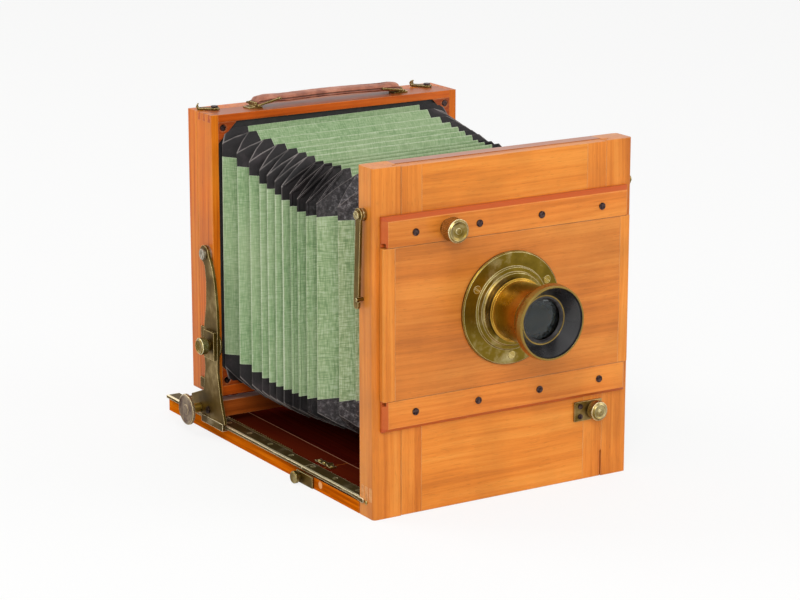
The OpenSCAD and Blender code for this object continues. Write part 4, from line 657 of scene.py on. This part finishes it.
# Handle: two thicknesses of harness leather, folded round the loops, with a groove between them
# along both edges. Sizes are in mm, with depths counted from the front face
handleSizes = {
    "left": -60.5, "right": 59.0, "y": 231.6, "middle": 239.0, "rows": 72,
    "rise": 1.4, "hump": 0.6, "humpAt": -47, "humpWide": 7, "wear": 0.12,
    "tip": 2.2, "folded": 7, "foldedWide": 6, "fuller": 0.22, "taper": 40, "endWidth": 0.84,
}
# Half section of the strap: distance out, height, and how deep in the groove between its layers
strapSection = [(0, 3.3, 0), (3, 3.1, 0), (5.2, 2.6, 0), (6.3, 1.9, 0), (6.7, 1.1, 0), (6.2, 0.3, 1),
                (6.7, -0.5, 0), (6.3, -1.2, 0), (5.2, -1.7, 0), (3, -1.9, 0)]
strapUnder = (0, -2.0, 0)


# Harness leather: tanned, waxed and pressed hide gone pink-brown, pebbled, with painted shade in the groove
# between its layers. Its pebbles are about 1 mm across, drawn coarser to show
hideSizes = {"pebble": 2.326 * mm, "patch": 13.33 * mm, "relief": 0.3 * mm}


def wornHide(name):
    material, tree, shader = startMaterial(name)
    s = hideSizes
    place = add(tree, "ShaderNodeTexCoord").outputs["Object"]
    patch = {"Vector": place, "Scale": 1 / s["patch"], "Detail": 7.0, "Roughness": 0.65}
    patch = add(tree, "ShaderNodeTexNoise", patch).outputs["Fac"]
    tones = [(0.3, linear("#6A3626")), (0.5, linear("#A8664C")), (0.72, linear("#CB9078"))]
    colour = add(tree, "ShaderNodeValToRGB", {"Fac": patch}, tones).outputs["Color"]
    groove = add(tree, "ShaderNodeAttribute", attribute_name="groove").outputs["Fac"]
    # painted shade darkens the groove between the layers
    grooveShade = {"Factor": groove, "A": colour, "B": linear("#4A2418")}
    colour = add(tree, "ShaderNodeMix", grooveShade, data_type="RGBA")
    tree.links.new(colour.outputs["Result"], shader.inputs["Base Color"])
    shader.inputs["Roughness"].default_value = 0.48
    pebble = add(tree, "ShaderNodeTexVoronoi", {"Vector": place, "Scale": 1 / s["pebble"]}).outputs["Distance"]
    relief = {"Height": pebble, "Strength": 0.4, "Distance": s["relief"]}
    tree.links.new(add(tree, "ShaderNodeBump", relief).outputs["Normal"], shader.inputs["Normal"])
    return material


def handleHeight(x):
    s = handleSizes
    t = (x - s["left"]) / (s["right"] - s["left"])
    hump = s["hump"] * math.exp(-((x - s["humpAt"]) / s["humpWide"]) ** 2)
    return s["middle"] + s["rise"] * math.sin(math.pi * t) + hump


def makeHandle(material):
    s = handleSizes
    otherHalf = [(-out, rise, groove) for out, rise, groove in reversed(strapSection[1:])]
    ring = strapSection + [strapUnder] + otherHalf
    bpy.ops.object.select_all(action="DESELECT")
    bpy.ops.mesh.primitive_grid_add(x_subdivisions=len(ring), y_subdivisions=s["rows"], size=1)
    strap = bpy.context.object
    strap.name = "handleStrap"
    mesh = strap.data
    grooves = mesh.attributes.new("groove", "FLOAT", "POINT")
    wide = len(ring) + 1
    for r in range(s["rows"] + 1):
        x = lerp(s["left"], s["right"], r / s["rows"])
        fromEnd = min(x - s["left"], s["right"] - x)
        # fuller where the strap is folded round a loop, narrow and rounded at its very end
        rounding = math.sqrt(max(0.04, 1 - max(0, 1 - fromEnd / s["tip"]) ** 2))
        full = (1 + s["fuller"] * math.exp(-((fromEnd - s["folded"]) / s["foldedWide"]) ** 2)) * rounding
        side = lerp(s["endWidth"], 1, math.sin(math.pi * min(1, fromEnd / s["taper"]) / 2))
        side = side * (0.9 + 0.1 * rounding)
        for c, (out, rise, groove) in enumerate(ring + ring[:1]):
            wear = s["wear"] * math.sin(1.3 * r + 0.8 * c)
            y, z = out * side + wear + s["y"], handleHeight(x) + rise * full + 0.1 * wear
            mesh.vertices[r * wide + c].co = (x * mm, y * mm + frontFace, z * mm)
            grooves.data[r * wide + c].value = groove
    mesh.materials.append(material)
    # the seam is merged, and each open end is closed
    bpy.ops.object.mode_set(mode="EDIT")
    bpy.ops.mesh.select_all(action="SELECT")
    bpy.ops.mesh.remove_doubles(threshold=0.01 * mm)
    bpy.ops.mesh.select_all(action="DESELECT")
    bpy.ops.mesh.select_non_manifold()
    bpy.ops.mesh.edge_face_add()
    bpy.ops.mesh.select_all(action="SELECT")
    bpy.ops.mesh.normals_make_consistent(inside=False)
    bpy.ops.object.mode_set(mode="OBJECT")
    bpy.ops.object.shade_smooth_by_angle(angle=math.radians(45))
    return strap


handle = makeHandle(wornHide("worn harness leather"))
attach(handle, "swing_frame")
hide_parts("handle_strap")
print("handle made")


# Camera at the photograph's place, solved from the front's corners and the bed's edges
cameraSizes = {
    "place": (-0.9652, -1.4828, 0.5776), "lens": 120.88, "sensor": 36, "turn": -31.75, "tilt": -14.39,
}
bpy.ops.object.camera_add(location=cameraSizes["place"])
camera = bpy.context.object
camera.data.lens = cameraSizes["lens"]
camera.data.sensor_width = cameraSizes["sensor"]
camera.rotation_euler = (math.radians(90 + cameraSizes["tilt"]), 0, math.radians(cameraSizes["turn"]))
camera.data.clip_end = 20
bpy.context.scene.camera = camera


# White paper: lit for the object, and nearly clean white for the camera, with a trace of the shadow
def whitePaper(name, clean=0.8):
    material, tree, shader = startMaterial(name)
    shader.inputs["Base Color"].default_value = linear("#F4F4F2")
    shader.inputs["Roughness"].default_value = 0.9
    glow = add(tree, "ShaderNodeEmission", {"Color": (1, 1, 1, 1), "Strength": 1.0})
    seen = add(tree, "ShaderNodeLightPath").outputs["Is Camera Ray"]
    share = add(tree, "ShaderNodeMath", {0: seen, 1: clean}, operation="MULTIPLY").outputs["Value"]
    mixed = {"Fac": share, 1: shader.outputs["BSDF"], 2: glow.outputs["Emission"]}
    mixed = add(tree, "ShaderNodeMixShader", mixed)
    output = next(n for n in tree.nodes if n.type == "OUTPUT_MATERIAL")
    tree.links.new(mixed.outputs["Shader"], output.inputs["Surface"])
    return material


bpy.ops.object.select_all(action="DESELECT")
bpy.ops.mesh.primitive_plane_add(size=14, location=(0, 0, 0))
floor = bpy.context.object
floor.name = "studioFloor"
floor.data.materials.append(whitePaper("white studio paper"))

# World: white where the camera, metal and glass see it, and softer as a light
worldLight = 0.55
world = bpy.data.worlds.new("studio")
bpy.context.scene.world = world
world.use_nodes = True
tree = world.node_tree
tree.nodes.clear()
path = add(tree, "ShaderNodeLightPath").outputs
seen = path["Is Camera Ray"]
for ray in ("Is Glossy Ray", "Is Transmission Ray"):
    seen = add(tree, "ShaderNodeMath", {0: seen, 1: path[ray]}, operation="MAXIMUM").outputs["Value"]
strength = add(tree, "ShaderNodeMix", {"Factor": seen, "A": worldLight, "B": 1.0}, data_type="FLOAT")
back = add(tree, "ShaderNodeBackground", {"Color": (1, 1, 1, 1), "Strength": strength.outputs["Result"]})
add(tree, "ShaderNodeOutputWorld", {"Surface": back.outputs["Background"]})

lamps = {
    "key": {"place": (-1.2, -2.0, 1.7), "size": 1.4, "power": 42},
    "fill": {"place": (2.0, -1.6, 1.3), "size": 1.6, "power": 16},
    "back": {"place": (-1.4, 1.8, 2.0), "size": 1.5, "power": 18},
}
lampAim = Vector((0, 0.08, 0.12))
for name, lamp in lamps.items():
    bpy.ops.object.light_add(type="AREA", location=lamp["place"])
    light = bpy.context.object
    light.name = name
    light.data.size = lamp["size"]
    light.data.energy = lamp["power"]
    light.rotation_euler = (lampAim - Vector(lamp["place"])).to_track_quat("-Z", "Y").to_euler()

bpy.context.scene.view_settings.view_transform = "Standard"
print("stage made")
